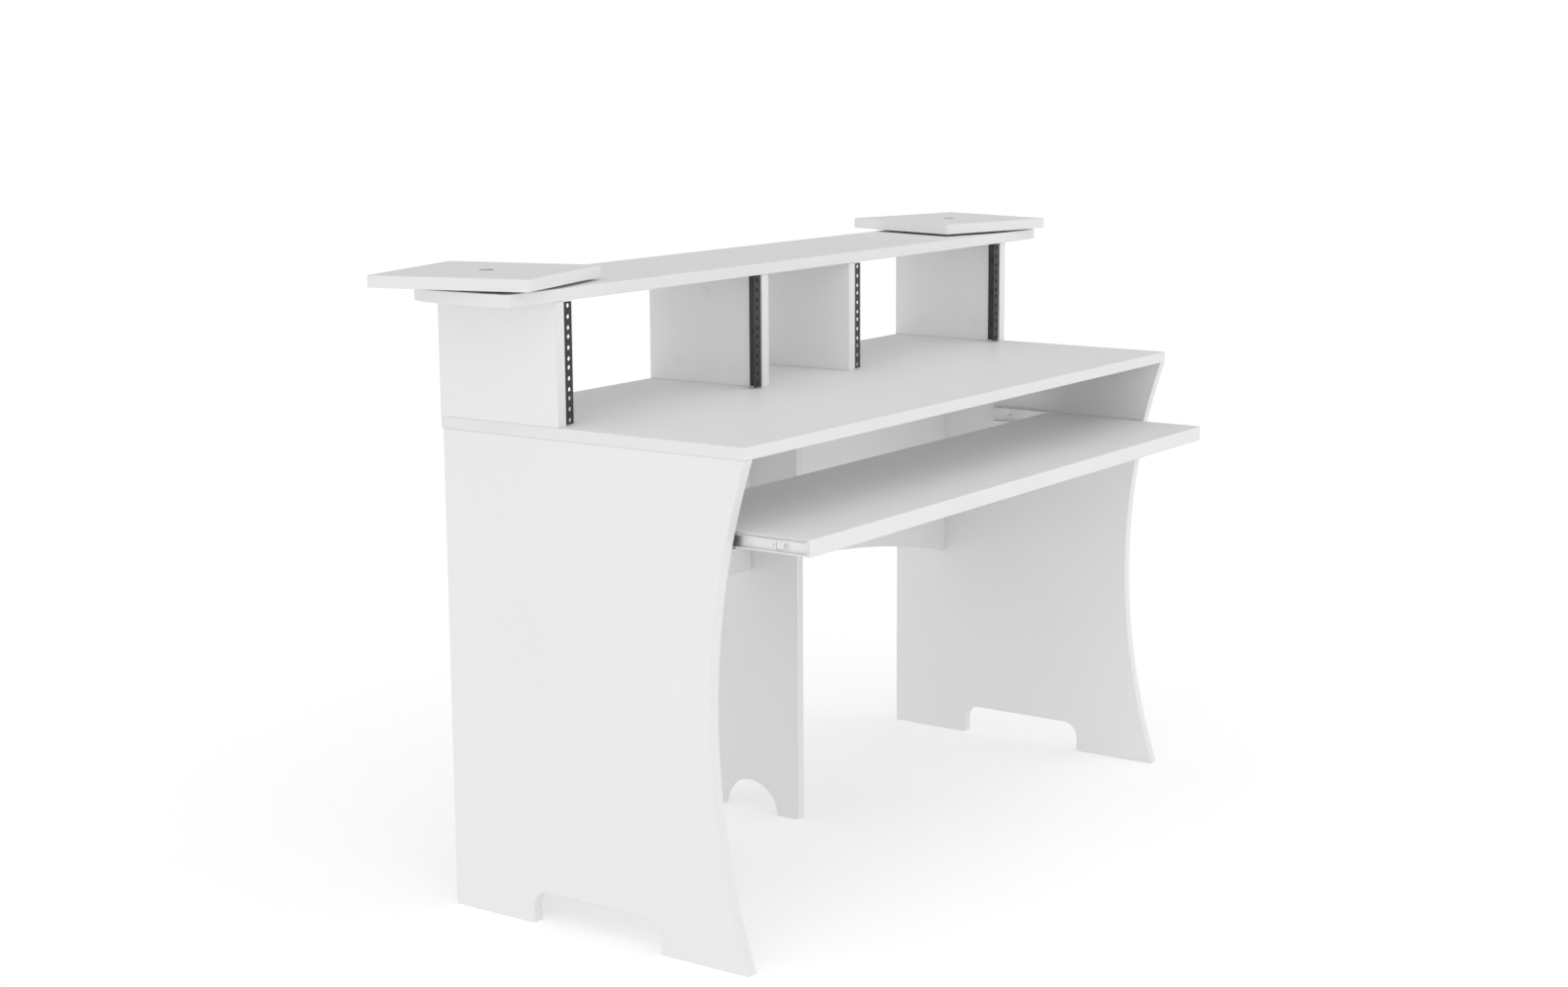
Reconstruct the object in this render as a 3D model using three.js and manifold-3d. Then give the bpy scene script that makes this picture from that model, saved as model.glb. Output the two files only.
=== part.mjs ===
import * as THREE from "three";
import { mergeVertices } from "three/addons/utils/BufferGeometryUtils.js";
import Module from "manifold-3d";

// A studio desk made of coated boards, in millimetres. +X is to the right of the person who sits at it,
// +Y is to the rear and +Z is up. Inside the desk's own group, x = 0 is the middle of its width, y = 0 is
// the rear edge of its side panels and z = 0 is the floor.

const wasm = await Module();
wasm.setup();

// Boards
const boardThickness = 18;
const trayThickness = 25;

// Side panels: the front edge is an arc that is shallowest at half height
const deskWidth = 1282;
const panelHeight = 737;
const panelDepth = 550;
const frontCurveSag = 62.5;
const footCutWidth = 240;
const footCutRise = 52;
const footCutRadius = 28;

// Centre support and modesty panel
const supportDepth = 200;
const supportArchWidth = 117;
const supportArchRise = 54;
const modestyRearInset = 90;
const modestyEndHeight = 349;
const modestyMiddleHeight = 424;

// Rack bays: what stands on the tabletop shares its rear overhang
const topRearOverhang = 4.2;
const rackUnitHeight = 44.45;
const rackUnits = 4;
const rackHeightClearance = 3.2;
const rackBayWidth = 488;
const rackWallDepth = 226;

// Top shelf: it overhangs the desk at both ends
const shelfOverhang = 106.3;
const shelfDepth = 228;
const shelfCornerRadius = 96;

// Speaker plates
const plateSize = 250;
const plateToeInDegrees = 15;
const plateGap = 4;
const pivotFromShelfEnd = 101.3;
const pivotFromShelfRear = 102;

// Keyboard tray, shown pulled out: pushed in, it stops just short of the centre support
const trayHeadroom = 105;
const trayFrontInset = 32;
const trayPulledOut = 118;
const trayRearGap = 13;

// Slides: one channel runs in another on a cage of balls and comes out by three quarters of its length
const slideLength = 300;
const slideTravelShare = 0.75;
const slideWidth = 12.7;
const slideHeight = 27;
const slideInnerHeight = 18;
const slideInnerDepth = 7.6;
const slideWall = 1.2;
const slideLip = 0.9;
const slideEndSetback = 4.4;
const slideFlangeGap = 0.8;
const ballClearance = 0.15;
const cageWall = 0.8;
const cageGap = 0.3;
const cageStopGap = 5;
const cageEdge = 0.6;
const cageBallCount = 6;
const cageBallMargin = 6;
const slideHoleRadius = 2.2;
const slideHoleEndDistance = 35;
const slideHoleCount = 3;

// Stop tab of the tray's channel: an L-shaped slit frees it, and a round hole lies behind it
const stopTabFromEnd = 39;
const stopTabLength = 12;
const stopTabSlit = 0.8;
const stopTabDrop = 6.8;
const stopTabHeight = 11;
const stopHoleFromEnd = 56;
const stopHoleRadius = 1.6;

// Rack rails: steel angles with three holes for each rack unit
const railWall = 2;
const railFlange = 19;
const railDepth = 22;
const railEndGap = 2;
const railSetback = 1.8;
const railHoleRadius = 3.3;
const railHoleFromEdge = 7.55;
const railHoleFirst = 6.35;
const railHoleSpacing = 15.875;
const railHolesPerUnit = 3;
const railScrewHoleRadius = 2.3;
const railScrewHoleCount = 3;
const railScrewHoleInset = 30;
const railScrewFromBack = 8;

// Cam connectors: a cam and its cover cap in one board, and a bolt that screws into the next
const camRadius = 7.2;
const camDepth = 12.4;
const camPocketRadius = 7.5;
const camPocketDepth = 13;
const camInset = 34;
const capRadius = 9;
const capHeight = 0.8;
const camBoltRadius = 3.4;
const camBoreRadius = 4;
const camThreadRadius = 2.5;
const camThreadLength = 11;
const camPilotRadius = 2.9;
const camPilotDepth = 12;

// Where the connectors sit along each joint
const sideRearInset = 70;
const sideFrontInset = 180;
const modestyFixingInset = 50;
const supportTopInset = 45;
const rackWallInset = 55;

// Speaker plate pivots: a bolt through the plate into an insert in the shelf
const pivotBoltRadius = 4;
const pivotBoreClearance = 0.4;
const pivotSeatGap = 0.3;
const pivotHeadRadius = 7;
const pivotHeadHeight = 4;
const pivotSocketRadius = 2.9;
const pivotSocketDepth = 2.4;
const pivotWasherRadius = 10;
const pivotWasherThickness = 1.6;
const pivotCounterboreRadius = 11;
const pivotCounterboreDepth = 7;
const pivotInsertRadius = 6;
const pivotInsertLength = 13;
const pivotInsertClearance = 0.3;
const pivotBoltEngagement = 12;
const glideRadius = 45;

// One overrun takes every cut past its surface, and points closer than the tolerance are one point
const cutOverrun = 1;
const mergeTolerance = 1e-4;

// Facets
const frontCurveSteps = 28;
const modestyCurveSteps = 12;
const archSteps = 16;
const cornerSteps = 6;
const shelfCornerSteps = 12;
const boltSides = 6;
const camSides = 10;
const holeSides = 8;
const discSides = 32;
const pivotSides = 16;
const ballSides = 8;
const ballRings = 4;

// Worked out from the sizes above
const halfWidth = deskWidth / 2;
const innerHalf = halfWidth - boardThickness;
const halfBoard = boardThickness / 2;
const panelCentreX = halfWidth - halfBoard;
const tabletopTop = panelHeight + boardThickness;
const rackHeight = rackUnitHeight * rackUnits + rackHeightClearance;
const shelfBottom = tabletopTop + rackHeight;
const shelfTop = shelfBottom + boardThickness;
const shelfHalf = halfWidth + shelfOverhang;
const rackWallFront = topRearOverhang - rackWallDepth;
const innerWallCentreX = innerHalf - rackBayWidth - halfBoard;
const plateBottom = shelfTop + plateGap;
const plateTop = plateBottom + boardThickness;
const pivotFromMiddle = shelfHalf - pivotFromShelfEnd;
const pivotY = topRearOverhang - pivotFromShelfRear;
const toeIn = THREE.MathUtils.degToRad(plateToeInDegrees);
const trayClosedReach = panelDepth - trayFrontInset;
const trayFront = -(trayClosedReach + trayPulledOut);
const trayDepth = trayClosedReach - supportDepth - trayRearGap;
const trayHalfWidth = innerHalf - slideWidth;
const trayMiddleHeight = panelHeight - trayHeadroom - trayThickness / 2;
const slideClosedFront = -(trayClosedReach - slideEndSetback);
const cageLength = slideLength * (1 - slideTravelShare) - 2 * cageStopGap;

// Finishes
const whiteLaminate = new THREE.MeshStandardMaterial({ color: 0xf1f1ef, roughness: 0.42, metalness: 0 });
const whiteCap = new THREE.MeshStandardMaterial({ color: 0xececea, roughness: 0.5, metalness: 0 });
const zincSteel = new THREE.MeshStandardMaterial({ color: 0xc9ccd0, roughness: 0.32, metalness: 0.9 });
const blackSteel = new THREE.MeshStandardMaterial({ color: 0x1d1e20, roughness: 0.5, metalness: 0.6 });
const blackNylon = new THREE.MeshStandardMaterial({ color: 0x26272a, roughness: 0.6, metalness: 0 });
const brass = new THREE.MeshStandardMaterial({ color: 0xb89b5e, roughness: 0.35, metalness: 0.9 });

const xAxis = new THREE.Vector3(1, 0, 0);
const yAxis = new THREE.Vector3(0, 1, 0);
const zAxis = new THREE.Vector3(0, 0, 1);

// Points of a circular arc about (u, v), from one angle to another, both ends included.
function arc(u, v, radius, from, to, steps) {
  const points = [];
  for (let i = 0; i <= steps; i += 1) {
    const angle = from + ((to - from) * i) / steps;
    points.push(new THREE.Vector2(u + radius * Math.cos(angle), v + radius * Math.sin(angle)));
  }
  return points;
}

// Radius of the circle whose chord and rise are known.
function radiusFromRise(chord, rise) {
  return (rise * rise + (chord * chord) / 4) / (2 * rise);
}

// A closed outline given as [u, v] pairs and Vector2 points.
function outline(points) {
  const list = points.map((p) => (Array.isArray(p) ? new THREE.Vector2(p[0], p[1]) : p));
  return new THREE.Shape(list);
}

// An outline pushed along one axis, centred on zero there. Along x it is drawn in (y, z), along y in
// (x, z) and along z in (x, y).
function prism(axis, shape, length) {
  const geometry = new THREE.ExtrudeGeometry(shape, { depth: length, bevelEnabled: false });
  geometry.translate(0, 0, -length / 2);
  const basis = new THREE.Matrix4();
  if (axis === "x") {
    basis.makeBasis(yAxis, zAxis, xAxis);
  }
  if (axis === "y") {
    basis.makeBasis(xAxis, zAxis, yAxis.clone().negate());
  }
  return geometry.applyMatrix4(basis);
}

// A round bar along one axis, from one place on it to another.
function bar(axis, radius, from, to, sides) {
  const geometry = new THREE.CylinderGeometry(radius, radius, to - from, sides);
  const turn = new THREE.Quaternion().setFromUnitVectors(yAxis, axis);
  geometry.applyQuaternion(turn);
  const middle = axis.clone().multiplyScalar((from + to) / 2);
  return geometry.translate(middle.x, middle.y, middle.z);
}

// A flat ring about z, from one height to another.
function ring(outerRadius, innerRadius, bottom, top, sides) {
  const profile = [
    [innerRadius, bottom],
    [outerRadius, bottom],
    [outerRadius, top],
    [innerRadius, top],
    [innerRadius, bottom],
  ].map(([r, z]) => new THREE.Vector2(r, z));
  return new THREE.LatheGeometry(profile, sides).rotateX(Math.PI / 2);
}

function solidOf(geometry) {
  const bare = geometry.clone();
  bare.deleteAttribute("normal");
  bare.deleteAttribute("uv");
  const merged = mergeVertices(bare, mergeTolerance);
  const mesh = new wasm.Mesh({
    numProp: 3,
    vertProperties: merged.attributes.position.array,
    triVerts: new Uint32Array(merged.index.array),
  });
  return new wasm.Manifold(mesh);
}

function geometryOf(solid) {
  const mesh = solid.getMesh();
  const geometry = new THREE.BufferGeometry();
  geometry.setAttribute("position", new THREE.BufferAttribute(new Float32Array(mesh.vertProperties), 3));
  geometry.setIndex(new THREE.BufferAttribute(new Uint32Array(mesh.triVerts), 1));
  geometry.computeVertexNormals();
  return geometry;
}

function cut(geometry, tools) {
  let solid = solidOf(geometry);
  for (const tool of tools) {
    solid = solid.subtract(solidOf(tool));
  }
  return geometryOf(solid);
}

function join(geometries) {
  let solid = solidOf(geometries[0]);
  for (const geometry of geometries.slice(1)) {
    solid = solid.add(solidOf(geometry));
  }
  return geometryOf(solid);
}

const desk = new THREE.Group();
const body = new THREE.Group();
desk.add(body);

function place(name, geometry, material, position) {
  const mesh = new THREE.Mesh(geometry, material);
  mesh.name = name;
  mesh.position.copy(position);
  body.add(mesh);
  return mesh;
}

// Cam connectors. In its own frame a connector has the board's face at z = 0, its cap on that face and
// its cam under it. The bolt runs along x at half the board's thickness, and the board ends at x = camInset.
const connectors = [];

function connectorFrame(at, toward, out) {
  const across = new THREE.Vector3().crossVectors(out, toward);
  return new THREE.Matrix4().makeBasis(toward, across, out).setPosition(at);
}

function boltBar(radius, from, to) {
  return bar(xAxis, radius, from, to, boltSides).translate(0, 0, -halfBoard);
}

function camAndCap(x) {
  const cam = bar(zAxis, camRadius, -camDepth, capHeight, camSides);
  const cap = bar(zAxis, capRadius, 0, capHeight, camSides);
  return [cam, cap].map((g) => g.translate(x, 0, 0));
}

function camPocket(x) {
  return bar(zAxis, camPocketRadius, -camPocketDepth, cutOverrun, camSides).translate(x, 0, 0);
}

function connect(name, host, mate, at, toward, out) {
  const boardEnd = camInset;
  const shank = boltBar(camBoltRadius, 0, boardEnd);
  const thread = boltBar(camThreadRadius, 0, boardEnd + camThreadLength);
  const bore = boltBar(camBoreRadius, 0, boardEnd + cutOverrun);
  const pilot = boltBar(camPilotRadius, boardEnd - cutOverrun, boardEnd + camPilotDepth);
  connectors.push({
    name,
    frame: connectorFrame(at, toward, out),
    geometry: join([...camAndCap(0), shank, thread]),
    cuts: [
      { board: host, tools: [camPocket(0), bore] },
      { board: mate, tools: [pilot] },
    ],
  });
}

// Two cams that share one bolt through the board between their two boards.
function connectThrough(name, hosts, through, at, toward, out) {
  const nearEnd = camInset;
  const farStart = nearEnd + boardThickness;
  const farCam = farStart + camInset;
  const nearBore = boltBar(camBoreRadius, 0, nearEnd + cutOverrun);
  const farBore = boltBar(camBoreRadius, farStart - cutOverrun, farCam);
  const hole = boltBar(camBoreRadius, nearEnd - cutOverrun, farStart + cutOverrun);
  connectors.push({
    name,
    frame: connectorFrame(at, toward, out),
    geometry: join([...camAndCap(0), ...camAndCap(farCam), boltBar(camBoltRadius, 0, farCam)]),
    cuts: [
      { board: hosts[0], tools: [camPocket(0), nearBore] },
      { board: hosts[1], tools: [camPocket(farCam), farBore] },
      { board: through, tools: [hole] },
    ],
  });
}

// The holes that connectors need in one board, in the desk's frame.
function holesFor(board) {
  return connectors.flatMap(({ frame, cuts }) => {
    const tools = cuts.filter((c) => c.board === board).flatMap((c) => c.tools);
    return tools.map((g) => g.applyMatrix4(frame));
  });
}

function placeBoard(name, geometry, position, more = []) {
  const tools = [...holesFor(name), ...more].map((g) => g.translate(-position.x, -position.y, -position.z));
  place(name, cut(geometry, tools), whiteLaminate, position);
}

function addConnectors() {
  for (const { name, frame, geometry } of connectors) {
    place(name, geometry, whiteCap, new THREE.Vector3()).applyMatrix4(frame);
  }
}

const sides = [
  { name: "left", sign: -1 },
  { name: "right", sign: 1 },
];

function layOutConnectors() {
  const down = zAxis.clone().negate();
  const topCamHeight = panelHeight - camInset;
  const modestyLow = modestyEndHeight + modestyFixingInset;
  const modestyHigh = panelHeight - modestyFixingInset;
  for (const { name, sign } of sides) {
    const inward = xAxis.clone().multiplyScalar(-sign);
    const outward = xAxis.clone().multiplyScalar(sign);
    const panel = `side_panel_${name}`;
    const modesty = `modesty_panel_${name}`;
    const innerFace = sign * innerHalf;
    for (const [spot, y] of [["rear", -sideRearInset], ["front", sideFrontInset - panelDepth]]) {
      const at = new THREE.Vector3(innerFace, y, topCamHeight);
      connect(`connector_side_${name}_${spot}`, panel, "tabletop", at, zAxis, inward);
    }
    for (const [spot, z] of [["lower", modestyLow], ["upper", modestyHigh]]) {
      const at = new THREE.Vector3(innerFace - sign * camInset, -modestyRearInset, z);
      connect(`connector_modesty_${name}_${spot}`, modesty, panel, at, outward, yAxis);
    }
    for (const [kind, wallX] of [["outer", panelCentreX], ["inner", innerWallCentreX]]) {
      const wall = `rack_wall_${name}_${kind}`;
      const bayward = kind === "outer" ? inward : outward;
      const faceX = sign * wallX + bayward.x * halfBoard;
      const lowZ = tabletopTop + camInset;
      const highZ = shelfBottom - camInset;
      const frontY = rackWallFront + rackWallInset;
      const rearY = topRearOverhang - rackWallInset;
      const stem = `connector_rack_${name}_${kind}`;
      connect(`${stem}_front`, wall, "tabletop", new THREE.Vector3(faceX, frontY, lowZ), down, bayward);
      connect(`${stem}_rear`, wall, "tabletop", new THREE.Vector3(faceX, rearY, lowZ), down, bayward);
      const middleY = (frontY + rearY) / 2;
      connect(`${stem}_top`, wall, "top_shelf", new THREE.Vector3(faceX, middleY, highZ), zAxis, bayward);
    }
  }
  const middleLow = modestyMiddleHeight + modestyFixingInset;
  for (const [spot, z] of [["lower", middleLow], ["upper", modestyHigh]]) {
    const at = new THREE.Vector3(-(halfBoard + camInset), -modestyRearInset, z);
    const halves = ["modesty_panel_left", "modesty_panel_right"];
    connectThrough(`connector_support_${spot}`, halves, "center_support", at, xAxis, yAxis);
  }
  for (const [spot, y] of [["rear", -supportTopInset], ["front", supportTopInset - supportDepth]]) {
    const at = new THREE.Vector3(halfBoard, y, topCamHeight);
    connect(`connector_support_top_${spot}`, "center_support", "tabletop", at, zAxis, xAxis);
  }
}

function sidePanelOutline() {
  const radius = radiusFromRise(panelHeight, frontCurveSag);
  const halfAngle = Math.asin(panelHeight / 2 / radius);
  const middle = -panelDepth / 2;
  const rearOfCut = middle + footCutWidth / 2;
  const frontOfCut = middle - footCutWidth / 2;
  const cornerHeight = footCutRise - footCutRadius;
  const curveCentre = frontCurveSag - panelDepth - radius;
  return outline([
    [0, 0],
    [rearOfCut, 0],
    ...arc(rearOfCut - footCutRadius, cornerHeight, footCutRadius, 0, Math.PI / 2, cornerSteps),
    ...arc(frontOfCut + footCutRadius, cornerHeight, footCutRadius, Math.PI / 2, Math.PI, cornerSteps),
    [frontOfCut, 0],
    ...arc(curveCentre, panelHeight / 2, radius, -halfAngle, halfAngle, frontCurveSteps),
    [0, panelHeight],
  ]);
}

function addSidePanels() {
  for (const { name, sign } of sides) {
    const position = new THREE.Vector3(sign * panelCentreX, 0, 0);
    placeBoard(`side_panel_${name}`, prism("x", sidePanelOutline(), boardThickness), position);
  }
}

function addCenterSupport() {
  const radius = radiusFromRise(supportArchWidth, supportArchRise);
  const start = Math.asin((radius - supportArchRise) / radius);
  const shape = outline([
    [0, 0],
    ...arc(-supportDepth / 2, supportArchRise - radius, radius, start, Math.PI - start, archSteps),
    [-supportDepth, 0],
    [-supportDepth, panelHeight],
    [0, panelHeight],
  ]);
  placeBoard("center_support", prism("x", shape, boardThickness), new THREE.Vector3());
}

// Each half runs from the centre support to a side panel, and one arc makes both lower edges.
function addModestyPanels() {
  const radius = radiusFromRise(2 * innerHalf, modestyMiddleHeight - modestyEndHeight);
  const from = Math.acos(innerHalf / radius);
  const to = Math.acos(halfBoard / radius);
  const position = new THREE.Vector3(0, -(modestyRearInset + halfBoard), 0);
  for (const { name, sign } of sides) {
    const edge = arc(0, modestyMiddleHeight - radius, radius, from, to, modestyCurveSteps);
    const shape = outline([
      ...edge.map((p) => [sign * p.x, p.y]),
      [sign * halfBoard, panelHeight],
      [sign * innerHalf, panelHeight],
    ]);
    placeBoard(`modesty_panel_${name}`, prism("y", shape, boardThickness), position);
  }
}

function rectangle(left, right, low, high) {
  return outline([
    [left, low],
    [right, low],
    [right, high],
    [left, high],
  ]);
}

function addTabletop() {
  const shape = rectangle(-halfWidth, halfWidth, -panelDepth, topRearOverhang);
  placeBoard("tabletop", prism("z", shape, boardThickness), new THREE.Vector3(0, 0, panelHeight + halfBoard));
}

function addRackWalls() {
  for (const { name, sign } of sides) {
    for (const [kind, x] of [["outer", panelCentreX], ["inner", innerWallCentreX]]) {
      const shape = rectangle(rackWallFront, topRearOverhang, tabletopTop, shelfBottom);
      const position = new THREE.Vector3(sign * x, 0, 0);
      placeBoard(`rack_wall_${name}_${kind}`, prism("x", shape, boardThickness), position);
    }
  }
}

function pivotPlace(sign, z) {
  return new THREE.Vector3(sign * pivotFromMiddle, pivotY, z);
}

function addTopShelf() {
  const front = topRearOverhang - shelfDepth;
  const cornerX = shelfHalf - shelfCornerRadius;
  const cornerY = topRearOverhang - shelfCornerRadius;
  const shape = outline([
    [-shelfHalf, front],
    [shelfHalf, front],
    ...arc(cornerX, cornerY, shelfCornerRadius, 0, Math.PI / 2, shelfCornerSteps),
    ...arc(-cornerX, cornerY, shelfCornerRadius, Math.PI / 2, Math.PI, shelfCornerSteps),
  ]);
  const holeRadius = pivotInsertRadius + pivotInsertClearance;
  const holeDepth = pivotInsertLength + pivotInsertClearance;
  const insertHoles = sides.map(({ sign }) => {
    const hole = bar(zAxis, holeRadius, -holeDepth, cutOverrun, pivotSides);
    const at = pivotPlace(sign, shelfTop);
    return hole.translate(at.x, at.y, at.z);
  });
  const position = new THREE.Vector3(0, 0, shelfBottom + halfBoard);
  placeBoard("top_shelf", prism("z", shape, boardThickness), position, insertHoles);
}

// Each plate turns about its middle on a bolt that stays in the shelf.
function addSpeakerPlates() {
  const half = plateSize / 2;
  const bore = bar(zAxis, pivotBoltRadius + pivotBoreClearance, -boardThickness, boardThickness, pivotSides);
  const seatBottom = halfBoard - pivotCounterboreDepth;
  const seat = bar(zAxis, pivotCounterboreRadius, seatBottom, boardThickness, pivotSides);
  for (const { name, sign } of sides) {
    const plate = cut(prism("z", rectangle(-half, half, -half, half), boardThickness), [bore, seat]);
    const position = pivotPlace(sign, plateBottom + halfBoard);
    const mesh = place(`speaker_plate_${name}`, plate, whiteLaminate, position);
    mesh.rotation.z = -sign * toeIn;
  }
}

function pivotBolt(headBottom) {
  const headTop = headBottom + pivotHeadHeight;
  const shankBottom = shelfTop - pivotBoltEngagement;
  const shank = bar(zAxis, pivotBoltRadius, shankBottom, headBottom + cutOverrun, pivotSides);
  const head = bar(zAxis, pivotHeadRadius, headBottom, headTop, pivotSides);
  const socket = bar(zAxis, pivotSocketRadius, headTop - pivotSocketDepth, headTop + cutOverrun, boltSides);
  return cut(join([shank, head]), [socket]);
}

function addPivots() {
  const washerBottom = plateTop - pivotCounterboreDepth + pivotSeatGap;
  const headBottom = washerBottom + pivotWasherThickness;
  const boreRadius = pivotBoltRadius + pivotBoreClearance;
  const insertBore = pivotBoltRadius + pivotInsertClearance;
  for (const { name, sign } of sides) {
    const at = pivotPlace(sign, 0);
    const insert = ring(pivotInsertRadius, insertBore, shelfTop - pivotInsertLength, shelfTop, pivotSides);
    const glide = ring(glideRadius, boreRadius, shelfTop, plateBottom - pivotSeatGap, discSides);
    const washer = ring(pivotWasherRadius, boreRadius, washerBottom, headBottom, pivotSides);
    place(`pivot_insert_${name}`, insert, brass, at);
    place(`glide_disc_${name}`, glide, blackNylon, at);
    place(`pivot_washer_${name}`, washer, zincSteel, at);
    place(`pivot_bolt_${name}`, pivotBolt(headBottom), zincSteel, at);
  }
}

function addKeyboardTray() {
  const shape = rectangle(-trayHalfWidth, trayHalfWidth, trayFront, trayFront + trayDepth);
  const position = new THREE.Vector3(0, 0, trayMiddleHeight);
  place("keyboard_tray", prism("z", shape, trayThickness), whiteLaminate, position);
}

// Slide sections, drawn as (u, z): u is the distance from the side panel, and z = 0 the slide's middle.
const outerFlangeEnd = slideWidth - slideWall - slideFlangeGap;
const innerFlangeStart = slideWidth - slideInnerDepth;

// An open channel from its web to its flange ends, with lips turned inwards on them.
function channel(webStart, flangeEnd, height, wall, lip) {
  const step = Math.sign(flangeEnd - webStart);
  const half = height / 2;
  const web = webStart + step * wall;
  const lipStart = flangeEnd - step * wall;
  const inner = half - wall;
  const upper = [
    [webStart, half],
    [flangeEnd, half],
    [flangeEnd, inner - lip],
    [lipStart, inner - lip],
    [lipStart, inner],
    [web, inner],
  ];
  const lower = upper.map(([u, z]) => [u, -z]).reverse();
  return [...upper, ...lower];
}

// A section as a prism for one side of the desk, with its rear end at y = 0 and the side panel at x = 0.
// A channel without lips repeats a point, which is dropped.
function slidePiece(section, sign, length) {
  const distinct = section.filter(([u, z], i) => {
    const [nextU, nextZ] = section[(i + 1) % section.length];
    return Math.hypot(nextU - u, nextZ - z) > 0;
  });
  const points = distinct.map(([u, z]) => [-sign * u, z]);
  return prism("y", outline(points), length).translate(0, -length / 2, 0);
}

// A round hole through a web, at a distance from the member's rear end.
function webHole(sign, radius, fromU, toU, fromRear) {
  const [low, high] = [-sign * fromU, -sign * toU].sort((a, b) => a - b);
  return bar(xAxis, radius, low, high, holeSides).translate(0, -fromRear, 0);
}

// Screw holes through a web, spaced evenly between the end distances.
function slideHoles(sign, fromU, toU) {
  const holes = [];
  const spacing = (slideLength - 2 * slideHoleEndDistance) / (slideHoleCount - 1);
  for (let i = 0; i < slideHoleCount; i += 1) {
    holes.push(webHole(sign, slideHoleRadius, fromU, toU, slideHoleEndDistance + i * spacing));
  }
  return holes;
}

// The slit runs along the stop tab's lower edge and up its rear end. Drawn in (y, z) for a prism along x.
function stopTabSlits(sign) {
  const front = stopTabFromEnd - slideLength;
  const rear = front + stopTabLength;
  const bottom = -stopTabDrop;
  const shape = outline([
    [front, bottom],
    [rear + stopTabSlit, bottom],
    [rear + stopTabSlit, bottom + stopTabHeight],
    [rear, bottom + stopTabHeight],
    [rear, bottom + stopTabSlit],
    [front, bottom + stopTabSlit],
  ]);
  const middle = -sign * (slideWidth - slideWall / 2);
  return prism("x", shape, slideWall + 2 * cutOverrun).translate(middle, 0, 0);
}

// A thin channel that carries a row of balls in each flange. The balls run midway between the two
// members' flanges, and between the inner member's flange ends and the outer member's lips.
function ballCage(sign) {
  const gap = (slideHeight - slideInnerHeight) / 2 - slideWall;
  const ballRadius = gap / 2 - ballClearance;
  const ballU = (innerFlangeStart + outerFlangeEnd - slideWall) / 2;
  const ballZ = (slideInnerHeight + gap) / 2;
  const flangeEnd = ballU + ballRadius + cageEdge;
  const strip = channel(slideWall + cageGap, flangeEnd, 2 * ballZ + cageWall, cageWall, 0);
  const pieces = [slidePiece(strip, sign, cageLength)];
  const pitch = (cageLength - 2 * cageBallMargin) / (cageBallCount - 1);
  for (let i = 0; i < cageBallCount; i += 1) {
    for (const row of [-1, 1]) {
      const ball = new THREE.SphereGeometry(ballRadius, ballSides, ballRings);
      pieces.push(ball.translate(-sign * ballU, -cageBallMargin - i * pitch, row * ballZ));
    }
  }
  return join(pieces);
}

function outerMember(sign) {
  const section = channel(0, outerFlangeEnd, slideHeight, slideWall, slideLip);
  const holes = slideHoles(sign, -cutOverrun, slideWall + cutOverrun);
  return cut(slidePiece(section, sign, slideLength), holes);
}

function innerMember(sign) {
  const section = channel(slideWidth, innerFlangeStart, slideInnerHeight, slideWall, 0);
  const fromU = slideWidth - slideWall - cutOverrun;
  const toU = slideWidth + cutOverrun;
  const stopHole = webHole(sign, stopHoleRadius, fromU, toU, slideLength - stopHoleFromEnd);
  const cuts = [...slideHoles(sign, fromU, toU), stopHole, stopTabSlits(sign)];
  return cut(slidePiece(section, sign, slideLength), cuts);
}

// The cage of balls follows the tray at half its travel.
function addSlides() {
  const closedRear = slideClosedFront + slideLength;
  const closedCageRear = closedRear - (slideLength - cageLength) / 2;
  const pieces = [
    { name: "slide_outer", make: outerMember, rear: closedRear, share: 0 },
    { name: "ball_cage", make: ballCage, rear: closedCageRear, share: 1 / 2 },
    { name: "slide_inner", make: innerMember, rear: closedRear, share: 1 },
  ];
  for (const { name, sign } of sides) {
    for (const piece of pieces) {
      const rear = piece.rear - piece.share * trayPulledOut;
      const position = new THREE.Vector3(sign * innerHalf, rear, trayMiddleHeight);
      place(`${piece.name}_${name}`, piece.make(sign), zincSteel, position);
    }
  }
}

// A rail has three threaded holes for each rack unit in its front flange, and screw holes in the other.
// In its own frame it starts at z = 0, in the corner of the front face and the wall.
function rackRail(bayward) {
  const height = rackHeight - 2 * railEndGap;
  const shape = outline([
    [0, 0],
    [bayward * railFlange, 0],
    [bayward * railFlange, railWall],
    [bayward * railWall, railWall],
    [bayward * railWall, railDepth],
    [0, railDepth],
  ]);
  const holes = [];
  const firstHole = rackHeightClearance / 2 + railHoleFirst - railEndGap;
  for (let unit = 0; unit < rackUnits; unit += 1) {
    for (let i = 0; i < railHolesPerUnit; i += 1) {
      const hole = bar(yAxis, railHoleRadius, -cutOverrun, railWall + cutOverrun, holeSides);
      const z = firstHole + unit * rackUnitHeight + i * railHoleSpacing;
      holes.push(hole.translate(bayward * (railFlange - railHoleFromEdge), 0, z));
    }
  }
  const reach = railWall + cutOverrun;
  const spacing = (height - 2 * railScrewHoleInset) / (railScrewHoleCount - 1);
  for (let i = 0; i < railScrewHoleCount; i += 1) {
    const hole = bar(xAxis, railScrewHoleRadius, -reach, reach, holeSides);
    holes.push(hole.translate(0, railDepth - railScrewFromBack, railScrewHoleInset + i * spacing));
  }
  return cut(prism("z", shape, height).translate(0, 0, height / 2), holes);
}

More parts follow.
